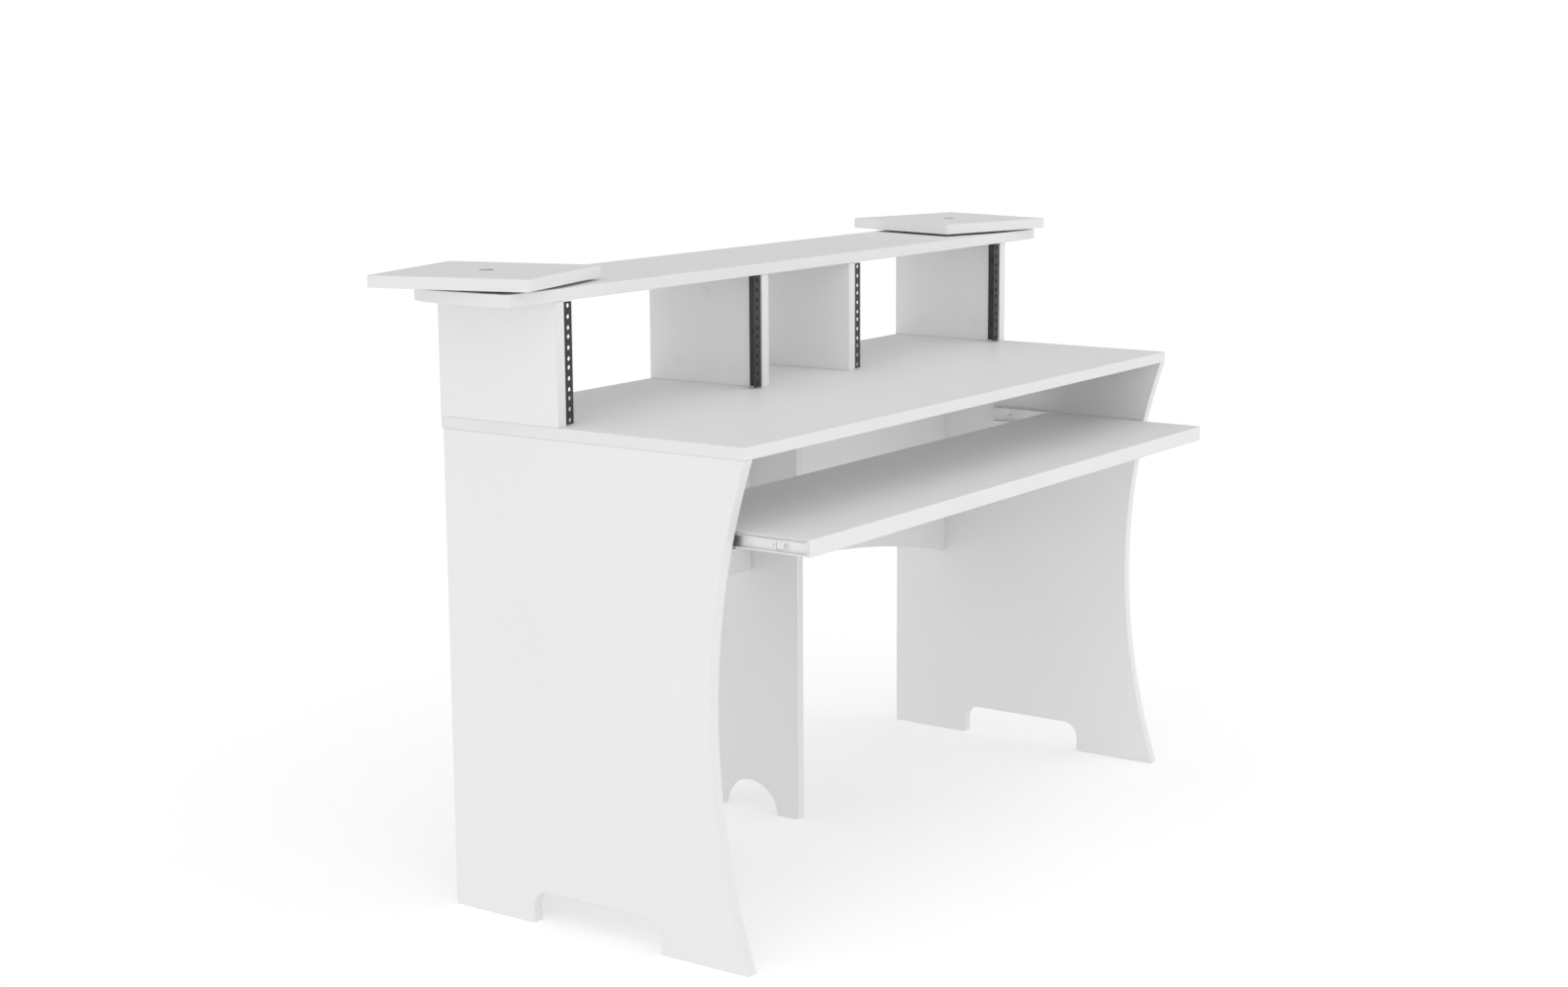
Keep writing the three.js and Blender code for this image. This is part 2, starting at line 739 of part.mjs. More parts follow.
function addRackRails() {
  const front = rackWallFront + railSetback;
  for (const { name, sign } of sides) {
    for (const [kind, face] of [["outer", innerHalf], ["inner", innerHalf - rackBayWidth]]) {
      const bayward = kind === "outer" ? -sign : sign;
      const position = new THREE.Vector3(sign * face, front, tabletopTop + railEndGap);
      place(`rack_rail_${name}_${kind}`, rackRail(bayward), blackSteel, position);
    }
  }
}

layOutConnectors();
addSidePanels();
addCenterSupport();
addModestyPanels();
addTabletop();
addRackWalls();
addTopShelf();
addSpeakerPlates();
addPivots();
addKeyboardTray();
addSlides();
addRackRails();
addConnectors();

// The origin is on the floor, under the middle of the whole desk with its tray as shown.
const plateReach = (plateSize / 2) * (Math.cos(toeIn) + Math.sin(toeIn));
const rearmost = pivotY + plateReach;
body.position.y = -(trayFront + rearmost) / 2;

export default desk;
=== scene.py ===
import bmesh
import bpy
import numpy as np
from mathutils import Matrix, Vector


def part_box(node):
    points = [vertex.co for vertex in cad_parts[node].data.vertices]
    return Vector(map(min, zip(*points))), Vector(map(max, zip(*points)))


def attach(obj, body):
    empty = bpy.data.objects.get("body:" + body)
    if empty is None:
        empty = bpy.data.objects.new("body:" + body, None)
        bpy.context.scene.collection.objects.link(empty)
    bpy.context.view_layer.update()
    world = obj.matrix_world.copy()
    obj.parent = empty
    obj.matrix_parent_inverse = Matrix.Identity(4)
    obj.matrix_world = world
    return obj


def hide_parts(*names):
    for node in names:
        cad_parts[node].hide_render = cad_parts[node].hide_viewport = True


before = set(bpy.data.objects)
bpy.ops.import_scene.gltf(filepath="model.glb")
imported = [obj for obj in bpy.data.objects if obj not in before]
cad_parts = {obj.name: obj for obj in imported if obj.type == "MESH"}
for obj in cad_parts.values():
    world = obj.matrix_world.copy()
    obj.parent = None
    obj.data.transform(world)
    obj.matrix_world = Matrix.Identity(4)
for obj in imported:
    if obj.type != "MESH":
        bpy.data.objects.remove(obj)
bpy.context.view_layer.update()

# A white studio desk with a pulled-out keyboard tray. Metres, +X right, +Y to the rear, +Z up.
print("frame loaded:", len(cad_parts), "nodes")

sides = (("left", -1), ("right", 1))
panelLow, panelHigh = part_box("side_panel_left")
panelRear = panelHigh.y
boardThickness = panelHigh.x - panelLow.x


# Camera
photoCamera = {
    "imageWidth": 1584,
    "focalPixels": 2470.5,
    "sensorWidth": 36,
    "place": (-3.2953, -2.4570, 1.2808),  # from the middle of the desk, its side panels' rear and the floor
    "yawDegrees": 55.22,
    "pitchDegrees": 10.21,
    "rollDegrees": -0.31,
    "clipStart": 0.05,
    "clipEnd": 200,
}


def addCamera(look):
    yaw, pitch, roll = np.radians([look["yawDegrees"], look["pitchDegrees"], look["rollDegrees"]])
    forward = np.array([np.sin(yaw) * np.cos(pitch), np.cos(yaw) * np.cos(pitch), -np.sin(pitch)])
    level = np.array([np.cos(yaw), -np.sin(yaw), 0])
    upright = np.cross(level, forward)
    right = np.cos(roll) * level + np.sin(roll) * upright
    up = -np.sin(roll) * level + np.cos(roll) * upright
    data = bpy.data.cameras.new("photo_camera")
    data.sensor_width = look["sensorWidth"]
    data.lens = look["focalPixels"] / look["imageWidth"] * look["sensorWidth"]
    data.dof.use_dof = False
    data.clip_start = look["clipStart"]
    data.clip_end = look["clipEnd"]
    camera = bpy.data.objects.new("photo_camera", data)
    turn = np.eye(4)
    turn[:3, :3] = np.stack([right, up, -forward], -1)
    turn[:3, 3] = np.array(look["place"]) + [0, panelRear, 0]
    camera.matrix_world = Matrix(turn.tolist())
    bpy.context.scene.collection.objects.link(camera)
    bpy.context.scene.camera = camera


addCamera(photoCamera)
print("camera placed")


# Finishes
# What a finish has where its own dictionary says nothing else. There, bump is a strength and a height.
finishBasics = {
    "metallic": 0,
    "specular": 0.5,
    "patchDetail": 3,
    "grainDetail": 4,
    "grainStretch": (1, 1, 1),
    "noiseRange": (0.3, 0.7),  # where most of a noise's values lie
}


# A broad noise moves the colour between two shades. A fine one, stretched where the finish has a grain, moves
# roughness and height, and adds any specks. Both read Object coordinates. The wear attribute, 1 on a board's
# rounded edges and 0 elsewhere, brings in the worn shade and polish, broken up by the broad noise.
def makeFinish(name, ownLook):
    look = {**finishBasics, **ownLook}
    material = bpy.data.materials.new(name)
    material.use_nodes = True
    nodes = material.node_tree.nodes
    link = material.node_tree.links.new
    shader = nodes["Principled BSDF"]
    shader.inputs["Metallic"].default_value = look["metallic"]
    shader.inputs["Specular IOR Level"].default_value = look["specular"]

    def noise(size, detail, stretch=finishBasics["grainStretch"]):
        place = nodes.new("ShaderNodeTexCoord")
        mapping = nodes.new("ShaderNodeMapping")
        mapping.inputs["Scale"].default_value = stretch
        texture = nodes.new("ShaderNodeTexNoise")
        texture.inputs["Scale"].default_value = 1 / size
        texture.inputs["Detail"].default_value = detail
        link(place.outputs["Object"], mapping.inputs["Vector"])
        link(mapping.outputs["Vector"], texture.inputs["Vector"])
        return texture.outputs["Fac"]

    def blendColor(amount, first, second):
        mix = nodes.new("ShaderNodeMix")
        mix.data_type = "RGBA"
        link(amount, mix.inputs["Factor"])
        for socket, value in ((mix.inputs["A"], first), (mix.inputs["B"], second)):
            if isinstance(value, tuple):
                socket.default_value = (*value, 1)
            else:
                link(value, socket)
        return mix.outputs["Result"]

    def toRange(value, low, high, source=look["noiseRange"]):
        span = nodes.new("ShaderNodeMapRange")
        span.inputs["From Min"].default_value, span.inputs["From Max"].default_value = source
        span.inputs["To Min"].default_value = low
        span.inputs["To Max"].default_value = high
        link(value, span.inputs["Value"])
        return span.outputs["Result"]

    def math(operation, first, second):
        step = nodes.new("ShaderNodeMath")
        step.operation = operation
        link(first, step.inputs[0])
        link(second, step.inputs[1])
        return step.outputs["Value"]

    broad = noise(look["patchSize"], look["patchDetail"])
    grain = noise(look["grainSize"], look["grainDetail"], look["grainStretch"])
    color = blendColor(toRange(broad, 0, 1), *look["shades"])
    if "speckShades" in look:
        color = blendColor(toRange(grain, 0, 1, look["speckRange"]), color, look["speckShades"])
    roughness = toRange(grain, *look["roughness"])
    if "wornShade" in look:
        wear = nodes.new("ShaderNodeAttribute")
        wear.attribute_name = "wear"
        amount = math("MULTIPLY", wear.outputs["Fac"], toRange(broad, *look["wornAmount"]))
        color = blendColor(amount, color, look["wornShade"])
        polish = math("MULTIPLY", amount, toRange(grain, *look["wornPolish"]))
        roughness = math("SUBTRACT", roughness, polish)
    bump = nodes.new("ShaderNodeBump")
    bump.inputs["Strength"].default_value, bump.inputs["Distance"].default_value = look["bump"]
    link(grain, bump.inputs["Height"])
    link(color, shader.inputs["Base Color"])
    link(roughness, shader.inputs["Roughness"])
    link(bump.outputs["Normal"], shader.inputs["Normal"])
    return material


laminate = makeFinish("pearl_laminate", {  # melamine face with a fine pearl texture
    "shades": ((0.782, 0.784, 0.782), (0.802, 0.803, 0.8)),
    "patchSize": 0.45,
    "grainSize": 0.0016,
    "roughness": (0.42, 0.5),
    "specular": 0.35,
    "bump": (0.25, 0.00006),
})
edgeBand = makeFinish("white_edge_band", {  # plastic edge strip, a touch cooler and smoother than the faces
    "shades": ((0.742, 0.746, 0.748), (0.761, 0.763, 0.763)),
    "patchSize": 0.12,
    "grainSize": 0.0009,
    "roughness": (0.34, 0.42),
    "specular": 0.4,
    "wornShade": (0.715, 0.71, 0.696),
    "wornAmount": (0.05, 0.6),
    "wornPolish": (0.05, 0.12),
    "bump": (0.2, 0.00004),
})
glueLine = makeFinish("glue_line", {  # hairline of glue between face and strip
    "shades": ((0.6, 0.595, 0.575), (0.7, 0.695, 0.68)),
    "patchSize": 0.05,
    "grainSize": 0.001,
    "roughness": (0.5, 0.65),
    "bump": (0.3, 0.00005),
})
chipboard = makeFinish("raw_chipboard", {  # raw core in the bores
    "shades": ((0.42, 0.28, 0.15), (0.56, 0.4, 0.23)),
    "patchSize": 0.006,
    "grainSize": 0.0013,
    "speckShades": (0.2, 0.12, 0.06),
    "speckRange": (0.55, 0.7),
    "roughness": (0.8, 0.95),
    "bump": (0.8, 0.0004),
})
zincSteel = makeFinish("bright_zinc", {  # drawn along the slides
    "shades": ((0.76, 0.765, 0.775), (0.84, 0.845, 0.85)),
    "patchSize": 0.03,
    "grainSize": 0.0012,
    "grainStretch": (1, 0.04, 1),
    "roughness": (0.36, 0.52),
    "metallic": 1,
    "bump": (0.25, 0.00004),
})
castZinc = makeFinish("die_cast_zinc", {  # dull and slightly grainy
    "shades": ((0.5, 0.5, 0.51), (0.6, 0.6, 0.61)),
    "patchSize": 0.008,
    "grainSize": 0.0007,
    "roughness": (0.45, 0.62),
    "metallic": 1,
    "bump": (0.5, 0.0001),
})
ballSteel = makeFinish("polished_ball_steel", {
    "shades": ((0.66, 0.67, 0.68), (0.74, 0.74, 0.75)),
    "patchSize": 0.004,
    "grainSize": 0.0005,
    "roughness": (0.1, 0.18),
    "metallic": 1,
    "bump": (0.1, 0.00001),
})
powderCoat = makeFinish("satin_black_powder", {  # with orange peel
    "shades": ((0.016, 0.016, 0.018), (0.026, 0.026, 0.028)),
    "patchSize": 0.06,
    "grainSize": 0.0011,
    "roughness": (0.4, 0.55),
    "bump": (0.6, 0.00008),
})
blackNylon = makeFinish("moulded_nylon", {  # matt black
    "shades": ((0.024, 0.024, 0.026), (0.036, 0.036, 0.038)),
    "patchSize": 0.03,
    "grainSize": 0.0009,
    "roughness": (0.55, 0.7),
    "bump": (0.5, 0.00008),
})
rawBrass = makeFinish("turned_brass", {
    "shades": ((0.62, 0.46, 0.2), (0.72, 0.55, 0.27)),
    "patchSize": 0.01,
    "grainSize": 0.0008,
    "roughness": (0.28, 0.42),
    "metallic": 1,
    "bump": (0.3, 0.00004),
})
capPlastic = makeFinish("cap_plastic", {  # white polythene cover caps, slightly warmer than the boards
    "shades": ((0.76, 0.76, 0.745), (0.79, 0.79, 0.775)),
    "patchSize": 0.02,
    "grainSize": 0.0008,
    "roughness": (0.38, 0.5),
    "bump": (0.3, 0.00004),
})
print("finishes made")


# Mesh tools
mergeDistance = 1e-6
edgeModifier = {"segments": 2, "fromDegrees": 50}
metalSharpDegrees = 40  # an edge of metal that turns more than this shows sharp
pivotSharpDegrees = 35
cornerFromDegrees = 30


# A part is a dictionary of arrays: its points, its faces, and for each face its finish and whether it is
# smooth, and for each point its wear.
def makePart(points, faces, finish=0, smooth=True, wear=0.0):
    return {
        "points": np.asarray(points, float),
        "faces": faces,
        "finish": np.broadcast_to(finish, len(faces)),
        "smooth": np.broadcast_to(smooth, len(faces)),
        "wear": np.broadcast_to(wear, len(points)),
    }


# Rings of n points joined into a tube: face (k, i) has corners (k, i), (k, i+1), (k+1, i+1) and (k+1, i).
# Its ends are closed by flat caps, or by each other when it is a loop.
def ringStack(rings, finish=0, smooth=True, wear=0.0, loop=False, capFinish=0):
    rings = np.asarray(rings, float)
    count, around = rings.shape[:2]
    index = np.arange(count * around).reshape(count, around)
    rows = np.concatenate([index, index[:1]]) if loop else index
    ahead = np.roll(rows, -1, 1)
    quads = np.stack([rows[:-1], ahead[:-1], ahead[1:], rows[1:]], -1)
    bands = len(quads)
    finishes = np.repeat(np.broadcast_to(finish, bands), around)
    smooths = np.repeat(np.broadcast_to(smooth, bands), around)
    faces = quads.reshape(-1, 4).tolist()
    if not loop:
        faces += [index[0][::-1].tolist(), index[-1].tolist()]
        finishes = np.append(finishes, [capFinish, capFinish])
        smooths = np.append(smooths, [False, False])
    wears = np.repeat(np.broadcast_to(wear, count), around)
    return makePart(rings.reshape(-1, 3), faces, finishes, smooths, wears)


# Even angles of a full turn: 2 pi i / n.
def fullTurn(around):
    return np.arange(around) * 2 * np.pi / around


# A profile of (radius, height) points carried round z: (r times a unit direction, z).
def sweptRings(profile, directions):
    profile = np.asarray(profile, float)
    height = np.broadcast_to(profile[:, 1, None, None], (len(profile), len(directions), 1))
    return np.concatenate([profile[:, :1, None] * directions, height], -1)


# The same at even angles: (r cos a, r sin a, z).
def turnedRings(profile, around):
    angle = fullTurn(around)
    return sweptRings(profile, np.stack([np.cos(angle), np.sin(angle)], -1))


# A part with its x, y and z turned along toward, across and out, then moved to its origin.
def moved(part, origin, toward=(1, 0, 0), across=(0, 1, 0), out=(0, 0, 1)):
    turn = np.array([toward, across, out], float)
    return {**part, "points": part["points"] @ turn + np.array(origin, float)}


# One object from its parts, with its finishes, the body that it rides on and the nodes that it replaces.
def makePiece(name, parts, finishes, body, replaced=(), sharpDegrees=metalSharpDegrees, bevel=None):
    keys = ("points", "finish", "smooth", "wear")
    joined = {key: np.concatenate([part[key] for part in parts]) for key in keys}
    starts = np.cumsum([0] + [len(part["points"]) for part in parts])
    faces = [[i + start for i in face] for part, start in zip(parts, starts) for face in part["faces"]]
    mesh = bpy.data.meshes.new(name)
    mesh.from_pydata(joined["points"].tolist(), [], faces)
    mesh.polygons.foreach_set("material_index", joined["finish"].astype(np.int32))
    mesh.polygons.foreach_set("use_smooth", joined["smooth"])
    wear = mesh.attributes.new("wear", "FLOAT", "POINT")
    wear.data.foreach_set("value", joined["wear"].astype(np.float32))
    solid = bmesh.new()
    solid.from_mesh(mesh)
    bmesh.ops.remove_doubles(solid, verts=solid.verts, dist=mergeDistance)
    bmesh.ops.recalc_face_normals(solid, faces=solid.faces)
    solid.to_mesh(mesh)
    solid.free()
    if sharpDegrees is not None:
        mesh.set_sharp_from_angle(angle=np.radians(sharpDegrees))
    for finish in finishes:
        mesh.materials.append(finish)
    piece = bpy.data.objects.new(name, mesh)
    bpy.context.scene.collection.objects.link(piece)
    if bevel is not None:
        rounding = piece.modifiers.new("rounding", "BEVEL")
        rounding.width = bevel
        rounding.segments = edgeModifier["segments"]
        rounding.limit_method = "ANGLE"
        rounding.angle_limit = np.radians(edgeModifier["fromDegrees"])
        rounding.use_clamp_overlap = True
    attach(piece, body)
    if replaced:
        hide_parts(*replaced)


# Outlines
# Points of an arc: centre + radius (cos a, sin a), with a running evenly from one angle to another.
def arcPoints(centre, radius, start, end, steps):
    angle = np.linspace(start, end, steps + 1)
    return np.array(centre) + radius * np.stack([np.cos(angle), np.sin(angle)], -1)


# Radius of the circle whose chord and rise are known.
def radiusFromRise(chord, rise):
    return (rise * rise + chord * chord / 4) / (2 * rise)


def unit(vectors):
    return vectors / np.linalg.norm(vectors, axis=-1, keepdims=True)


# The arc, touching both edges, that rounds a corner where an outline turns from its direction by an angle.
def cornerArc(corner, direction, angle, radius, steps):
    start = corner - direction * radius * np.tan(abs(angle) / 2)
    centre = start + np.sign(angle) * radius * np.array([-direction[1], direction[0]])
    first = np.arctan2(*(start - centre)[::-1])
    return arcPoints(centre, radius, first, first + angle, steps)


# Each corner that turns more than cornerFromDegrees becomes an arc.
def softCorners(outline, radius, steps):
    arriving = unit(outline - np.roll(outline, 1, 0))
    leaving = unit(np.roll(outline, -1, 0) - outline)
    crossed = arriving[:, 0] * leaving[:, 1] - arriving[:, 1] * leaving[:, 0]
    turn = np.arctan2(crossed, np.sum(arriving * leaving, -1))
    pieces = []
    for corner, direction, angle in zip(outline, arriving, turn):
        if abs(angle) < np.radians(cornerFromDegrees):
            pieces.append(corner[None])
        else:
            pieces.append(cornerArc(corner, direction, angle, radius, steps))
    return np.concatenate(pieces)


# Inward mitres of a closed outline: the sum of its two edge normals over one plus their dot product.
def mitres(outline):
    edge = unit(np.roll(outline, -1, 0) - outline)
    area = np.sum(outline[:, 0] * np.roll(outline[:, 1], -1) - outline[:, 1] * np.roll(outline[:, 0], -1))
    normal = np.sign(area) * np.stack([-edge[:, 1], edge[:, 0]], -1)
    before = np.roll(normal, 1, 0)
    return (before + normal) / (1 + np.sum(before * normal, -1, keepdims=True))


# Boards
boardEdge = {
    "bandThickness": 0.001,
    "glueLine": 0.00012,
    "rounding": 0.0007,
    "roundingSteps": 4,
    "support": 0.0003,  # ring that keeps the edge flat up to its rounding
    "cornerRadius": 0.0013,
    "cornerSpare": 0.0002,  # what a corner's radius keeps over the inset of its innermost ring
    "cornerSteps": 4,
}
planes = {"x": (1, 2, 0), "y": (0, 2, 1), "z": (0, 1, 2)}  # a board's two axes and the one across it
boardFinishes = [laminate, edgeBand, glueLine]
faceSlot, bandSlot, glueSlot, rawSlot = range(4)


# Half of a board's edge, from its face to the middle of its side, as (distance inwards, height) points:
# a glue line, the strip's flat, a quarter circle and a flat.
def halfEdge(thickness, rounding, edge):
    band = max(edge["bandThickness"], rounding + edge["support"])
    angle = np.linspace(np.pi / 2, 0, edge["roundingSteps"] + 1)
    top = thickness / 2
    curve = np.stack([rounding * (1 - np.cos(angle)), top - rounding * (1 - np.sin(angle))], -1)
    face = [[band + edge["glueLine"], top], [band, top]]
    return np.concatenate([face, curve, [[0, top - rounding - edge["support"]]]])


# A board's rings: P(k, i) = outline(i) + inset(k) mitre(i) in the board's plane, at height(k) along its axis.
def boardRings(outline, axis, centre, profile):
    around = outline + profile[:, :1, None] * mitres(outline)
    rings = np.empty((*around.shape[:2], 3))
    u, v, w = planes[axis]
    rings[..., u] = around[..., 0]
    rings[..., v] = around[..., 1]
    rings[..., w] = centre + profile[:, 1, None]
    return rings


# The whole edge: the lower half edge mirrored, then the upper one back to its face, with the wear of each
# point and the finish of each band between two points.
def edgeProfile(thickness, edge, lowerRounding=None):
    upper = halfEdge(thickness, edge["rounding"], edge)
    lower = halfEdge(thickness, lowerRounding or edge["rounding"], edge)
    profile = np.concatenate([lower * [1, -1], upper[::-1]])
    facePoints = 2
    worn = range(facePoints, facePoints + edge["roundingSteps"])
    wear = np.isin(np.arange(len(profile)) % len(upper), worn).astype(float)
    finish = np.full(len(profile) - 1, bandSlot)
    finish[[0, -1]] = glueSlot
    return profile, wear, finish


def boardPart(outline, axis, centre, thickness, lowerRounding=None):
    edge = boardEdge
    profile, wear, finish = edgeProfile(thickness, edge, lowerRounding)
    corner = max(edge["cornerRadius"], profile[:, 0].max() + edge["cornerSpare"])
    outline = softCorners(np.asarray(outline, float), corner, edge["cornerSteps"])
    return ringStack(boardRings(outline, axis, centre, profile), finish, True, wear)


def addBoard(node, outline, axis, body="desk", lowerRounding=None):
    low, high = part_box(node)
    along = planes[axis][2]
    part = boardPart(outline, axis, (low[along] + high[along]) / 2, high[along] - low[along], lowerRounding)
    makePiece(f"{node}_board", [part], boardFinishes, body, [node], sharpDegrees=None)


def rectangle(node, axis):
    low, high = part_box(node)
    u, v = planes[axis][:2]
    return [[low[u], low[v]], [high[u], low[v]], [high[u], high[v]], [low[u], high[v]]]


sidePanel = {
    "curveSag": 0.0625,
    "curveSteps": 96,
    "footCutWidth": 0.24,
    "footCutRise": 0.052,
    "footCutRadius": 0.028,
    "footCutSteps": 12,
}


# Front edge: an arc of known chord and sag, shallowest at half height. Foot: a cut-out with round corners.
def sidePanelOutline(node, look):
    low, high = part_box(node)
    radius = radiusFromRise(high.z - low.z, look["curveSag"])
    halfAngle = np.arcsin((high.z - low.z) / 2 / radius)
    middle = (low.y + high.y) / 2
    corner = look["footCutRadius"]
    rear, front = middle + look["footCutWidth"] / 2, middle - look["footCutWidth"] / 2
    rise = low.z + look["footCutRise"] - corner
    curveCentre = (low.y + look["curveSag"] - radius, (low.z + high.z) / 2)
    return np.concatenate([
        [[high.y, low.z], [rear, low.z]],
        arcPoints((rear - corner, rise), corner, 0, np.pi / 2, look["footCutSteps"]),
        arcPoints((front + corner, rise), corner, np.pi / 2, np.pi, look["footCutSteps"]),
        [[front, low.z]],
        arcPoints(curveCentre, radius, -halfAngle, halfAngle, look["curveSteps"]),
        [[high.y, high.z]],
    ])


centerSupport = {"archWidth": 0.117, "archRise": 0.054, "archSteps": 40}


# A rectangle whose foot is hollowed by an arc of known width and rise.
def centerSupportOutline(look):
    low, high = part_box("center_support")
    radius = radiusFromRise(look["archWidth"], look["archRise"])
    start = np.arcsin((radius - look["archRise"]) / radius)
    centre = ((low.y + high.y) / 2, low.z + look["archRise"] - radius)
    arch = arcPoints(centre, radius, start, np.pi - start, look["archSteps"])
    return np.concatenate([[[high.y, low.z]], arch, [[low.y, low.z], [low.y, high.z], [high.y, high.z]]])


modesty = {"endHeight": 0.349, "middleHeight": 0.424, "curveSteps": 60}


# One arc makes the lower edges of both halves: it rises from the side panels to the middle of the desk.
def modestyOutline(node, look):
    low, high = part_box(node)
    outer, inner = max(abs(low.x), abs(high.x)), min(abs(low.x), abs(high.x))
    side = np.sign(low.x + high.x)
    radius = radiusFromRise(2 * outer, look["middleHeight"] - look["endHeight"])
    centre = (0, look["middleHeight"] - radius)
    edge = arcPoints(centre, radius, np.arccos(outer / radius), np.arccos(inner / radius), look["curveSteps"])
    return np.concatenate([edge, [[inner, high.z], [outer, high.z]]]) * [side, 1]


shelf = {"cornerRadius": 0.096, "cornerSteps": 40}


# Front corners square, rear corners quarter circles.
def shelfOutline(look):
    low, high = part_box("top_shelf")
    corner = look["cornerRadius"]
    centreX, centreY = high.x - corner, high.y - corner
    right = arcPoints((centreX, centreY), corner, 0, np.pi / 2, look["cornerSteps"])
    left = arcPoints((-centreX, centreY), corner, np.pi / 2, np.pi, look["cornerSteps"])
    return np.concatenate([[[low.x, low.y], [high.x, low.y]], right, left])


keyboardTray = {"lowerRounding": 0.0022}

for side, _ in sides:
    addBoard(f"side_panel_{side}", sidePanelOutline(f"side_panel_{side}", sidePanel), "x")
    addBoard(f"modesty_panel_{side}", modestyOutline(f"modesty_panel_{side}", modesty), "y")
    for kind in ("outer", "inner"):
        addBoard(f"rack_wall_{side}_{kind}", rectangle(f"rack_wall_{side}_{kind}", "x"), "x")
addBoard("center_support", centerSupportOutline(centerSupport), "x")
addBoard("tabletop", rectangle("tabletop", "z"), "z")
addBoard("top_shelf", shelfOutline(shelf), "z")
addBoard("keyboard_tray", rectangle("keyboard_tray", "z"), "z", "tray", keyboardTray["lowerRounding"])
print("boards made")


# Speaker plates
speakerPlate = {
    "size": 0.25,
    "toeInDegrees": 15,
    "boreRadius": 0.0044,
    "counterboreRadius": 0.011,
    "counterboreDepth": 0.007,
    "chamfer": 0.0004,
    "stepsPerSide": 24,
}


# A square outline whose points stand at even angles from its middle: side point = half tan(a).
def evenSquare(half, steps):
    offset = half * np.tan(np.linspace(-np.pi / 4, np.pi / 4, steps + 1))[:-1]
    full = np.full(steps, half)
    sidePoints = [[full, offset], [-offset, full], [-full, -offset], [offset, -full]]
    return np.concatenate([np.stack(pair, -1) for pair in sidePoints])


# One closed loop of rings: up the square edge, in over the top face to the counterbore, down the bore and
# out under the lower face. Round rings take their angles from the square's points.
def speakerPlatePart(look, thickness):
    outline = softCorners(evenSquare(look["size"] / 2, look["stepsPerSide"]), boardEdge["cornerRadius"],
                          boardEdge["cornerSteps"])
    profile, wear, finish = edgeProfile(thickness, boardEdge)
    square = boardRings(outline, "z", 0, profile)
    top = thickness / 2
    bevel = look["chamfer"]
    wide, bore = look["counterboreRadius"], look["boreRadius"]
    seat = top - look["counterboreDepth"]
    hole = [[wide + bevel, top], [wide, top - bevel], [wide, seat], [bore, seat], [bore, bevel - top],
            [bore + bevel, -top]]
    rings = np.concatenate([square, sweptRings(hole, unit(outline))])
    finishes = [*finish, faceSlot, *[rawSlot] * (len(hole) - 1), faceSlot]
    smooths = [True] * len(finish) + [False, True, True, False, True, True, False]
    wears = [*wear, *np.zeros(len(hole))]
    return ringStack(rings, finishes, smooths, wears, loop=True)


for side, sign in sides:
    node = f"speaker_plate_{side}"
    low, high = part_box(node)
    angle = -sign * np.radians(speakerPlate["toeInDegrees"])
    part = moved(speakerPlatePart(speakerPlate, high.z - low.z), (low + high) / 2,
                 (np.cos(angle), np.sin(angle), 0), (-np.sin(angle), np.cos(angle), 0))
    makePiece(f"{node}_board", [part], [*boardFinishes, chipboard], f"plate_{side}", [node],
              sharpDegrees=None)
print("speaker plates made")


# Threads and pivots
# A screw thread: r = radius - depth |2 frac(z / pitch - a / 2 pi) - 1|, in rings a few to each pitch.
def threadRings(look, bottom, top, ringsPerPitch=8):
    pitch = look["threadPitch"]
    height = np.linspace(bottom, top, int((top - bottom) / pitch * ringsPerPitch) + 1)
    angle = fullTurn(look["around"])
    phase = height[:, None] / pitch - angle / (2 * np.pi)
    r = look["threadRadius"] - look["threadDepth"] * np.abs(2 * (phase % 1) - 1)
    z = np.broadcast_to(height[:, None], r.shape)
    return np.stack([r * np.cos(angle), r * np.sin(angle), z], -1)


# A hexagon as a ring: r = apothem / cos of the angle to the nearest flat.
def hexagonRing(apothem, height, around):
    angle = fullTurn(around)
    r = apothem / np.cos((angle + np.pi / 6) % (np.pi / 3) - np.pi / 6)
    return np.stack([r * np.cos(angle), r * np.sin(angle), np.full(around, height)], -1)[None]


pivotBolt = {
    "threadRadius": 0.004,
    "threadDepth": 0.0006,
    "threadPitch": 0.00125,
    "threadStart": 0.0007,  # from the lower end
    "tipBevel": 0.0005,
    "plainShank": 0.01,
    "headRadius": 0.007,
    "headHeight": 0.004,
    "headRounding": 0.0008,
    "headRoundingDegrees": (0, 30, 60, 90),
    "edgeBevel": 0.0003,
    "socketApothem": 0.0025,
    "socketDepth": 0.0024,
    "socketPoint": 0.0005,  # depth of the cone in the socket's floor
    "around": 48,
}


# A bolt about z: a bevelled tip, the thread, a plain shank, a head whose upper edge is a quarter circle, and
# a hexagon socket with a conical floor.
def pivotBoltPart(look, bottom, top):
    around = look["around"]
    headBottom = top - look["headHeight"]
    shankBottom = headBottom - look["plainShank"]
    shank, head, bevel = look["threadRadius"], look["headRadius"], look["edgeBevel"]
    depth = look["threadDepth"]
    tip = shank - depth
    point = turnedRings([[0, bottom], [tip - depth, bottom], [tip, bottom + look["tipBevel"]]], around)
    thread = threadRings(look, bottom + look["threadStart"], shankBottom)
    rim = look["headRounding"]
    curve = np.radians(look["headRoundingDegrees"])
    rounded = np.stack([head - rim * (1 - np.cos(curve)), top - rim * (1 - np.sin(curve))], -1)
    crown = turnedRings([[shank, shankBottom + bevel], [shank, headBottom], [head - bevel, headBottom],
                         [head, headBottom + bevel], *rounded], around)
    socket = look["socketApothem"]
    floor = top - look["socketDepth"]
    hexagons = [hexagonRing(apothem, height, around)
                for apothem, height in ((socket + bevel, top), (socket, top - bevel), (socket, floor))]
    cone = turnedRings([[0, floor - look["socketPoint"]]], around)
    return ringStack(np.concatenate([point, thread, crown, *hexagons, cone]))


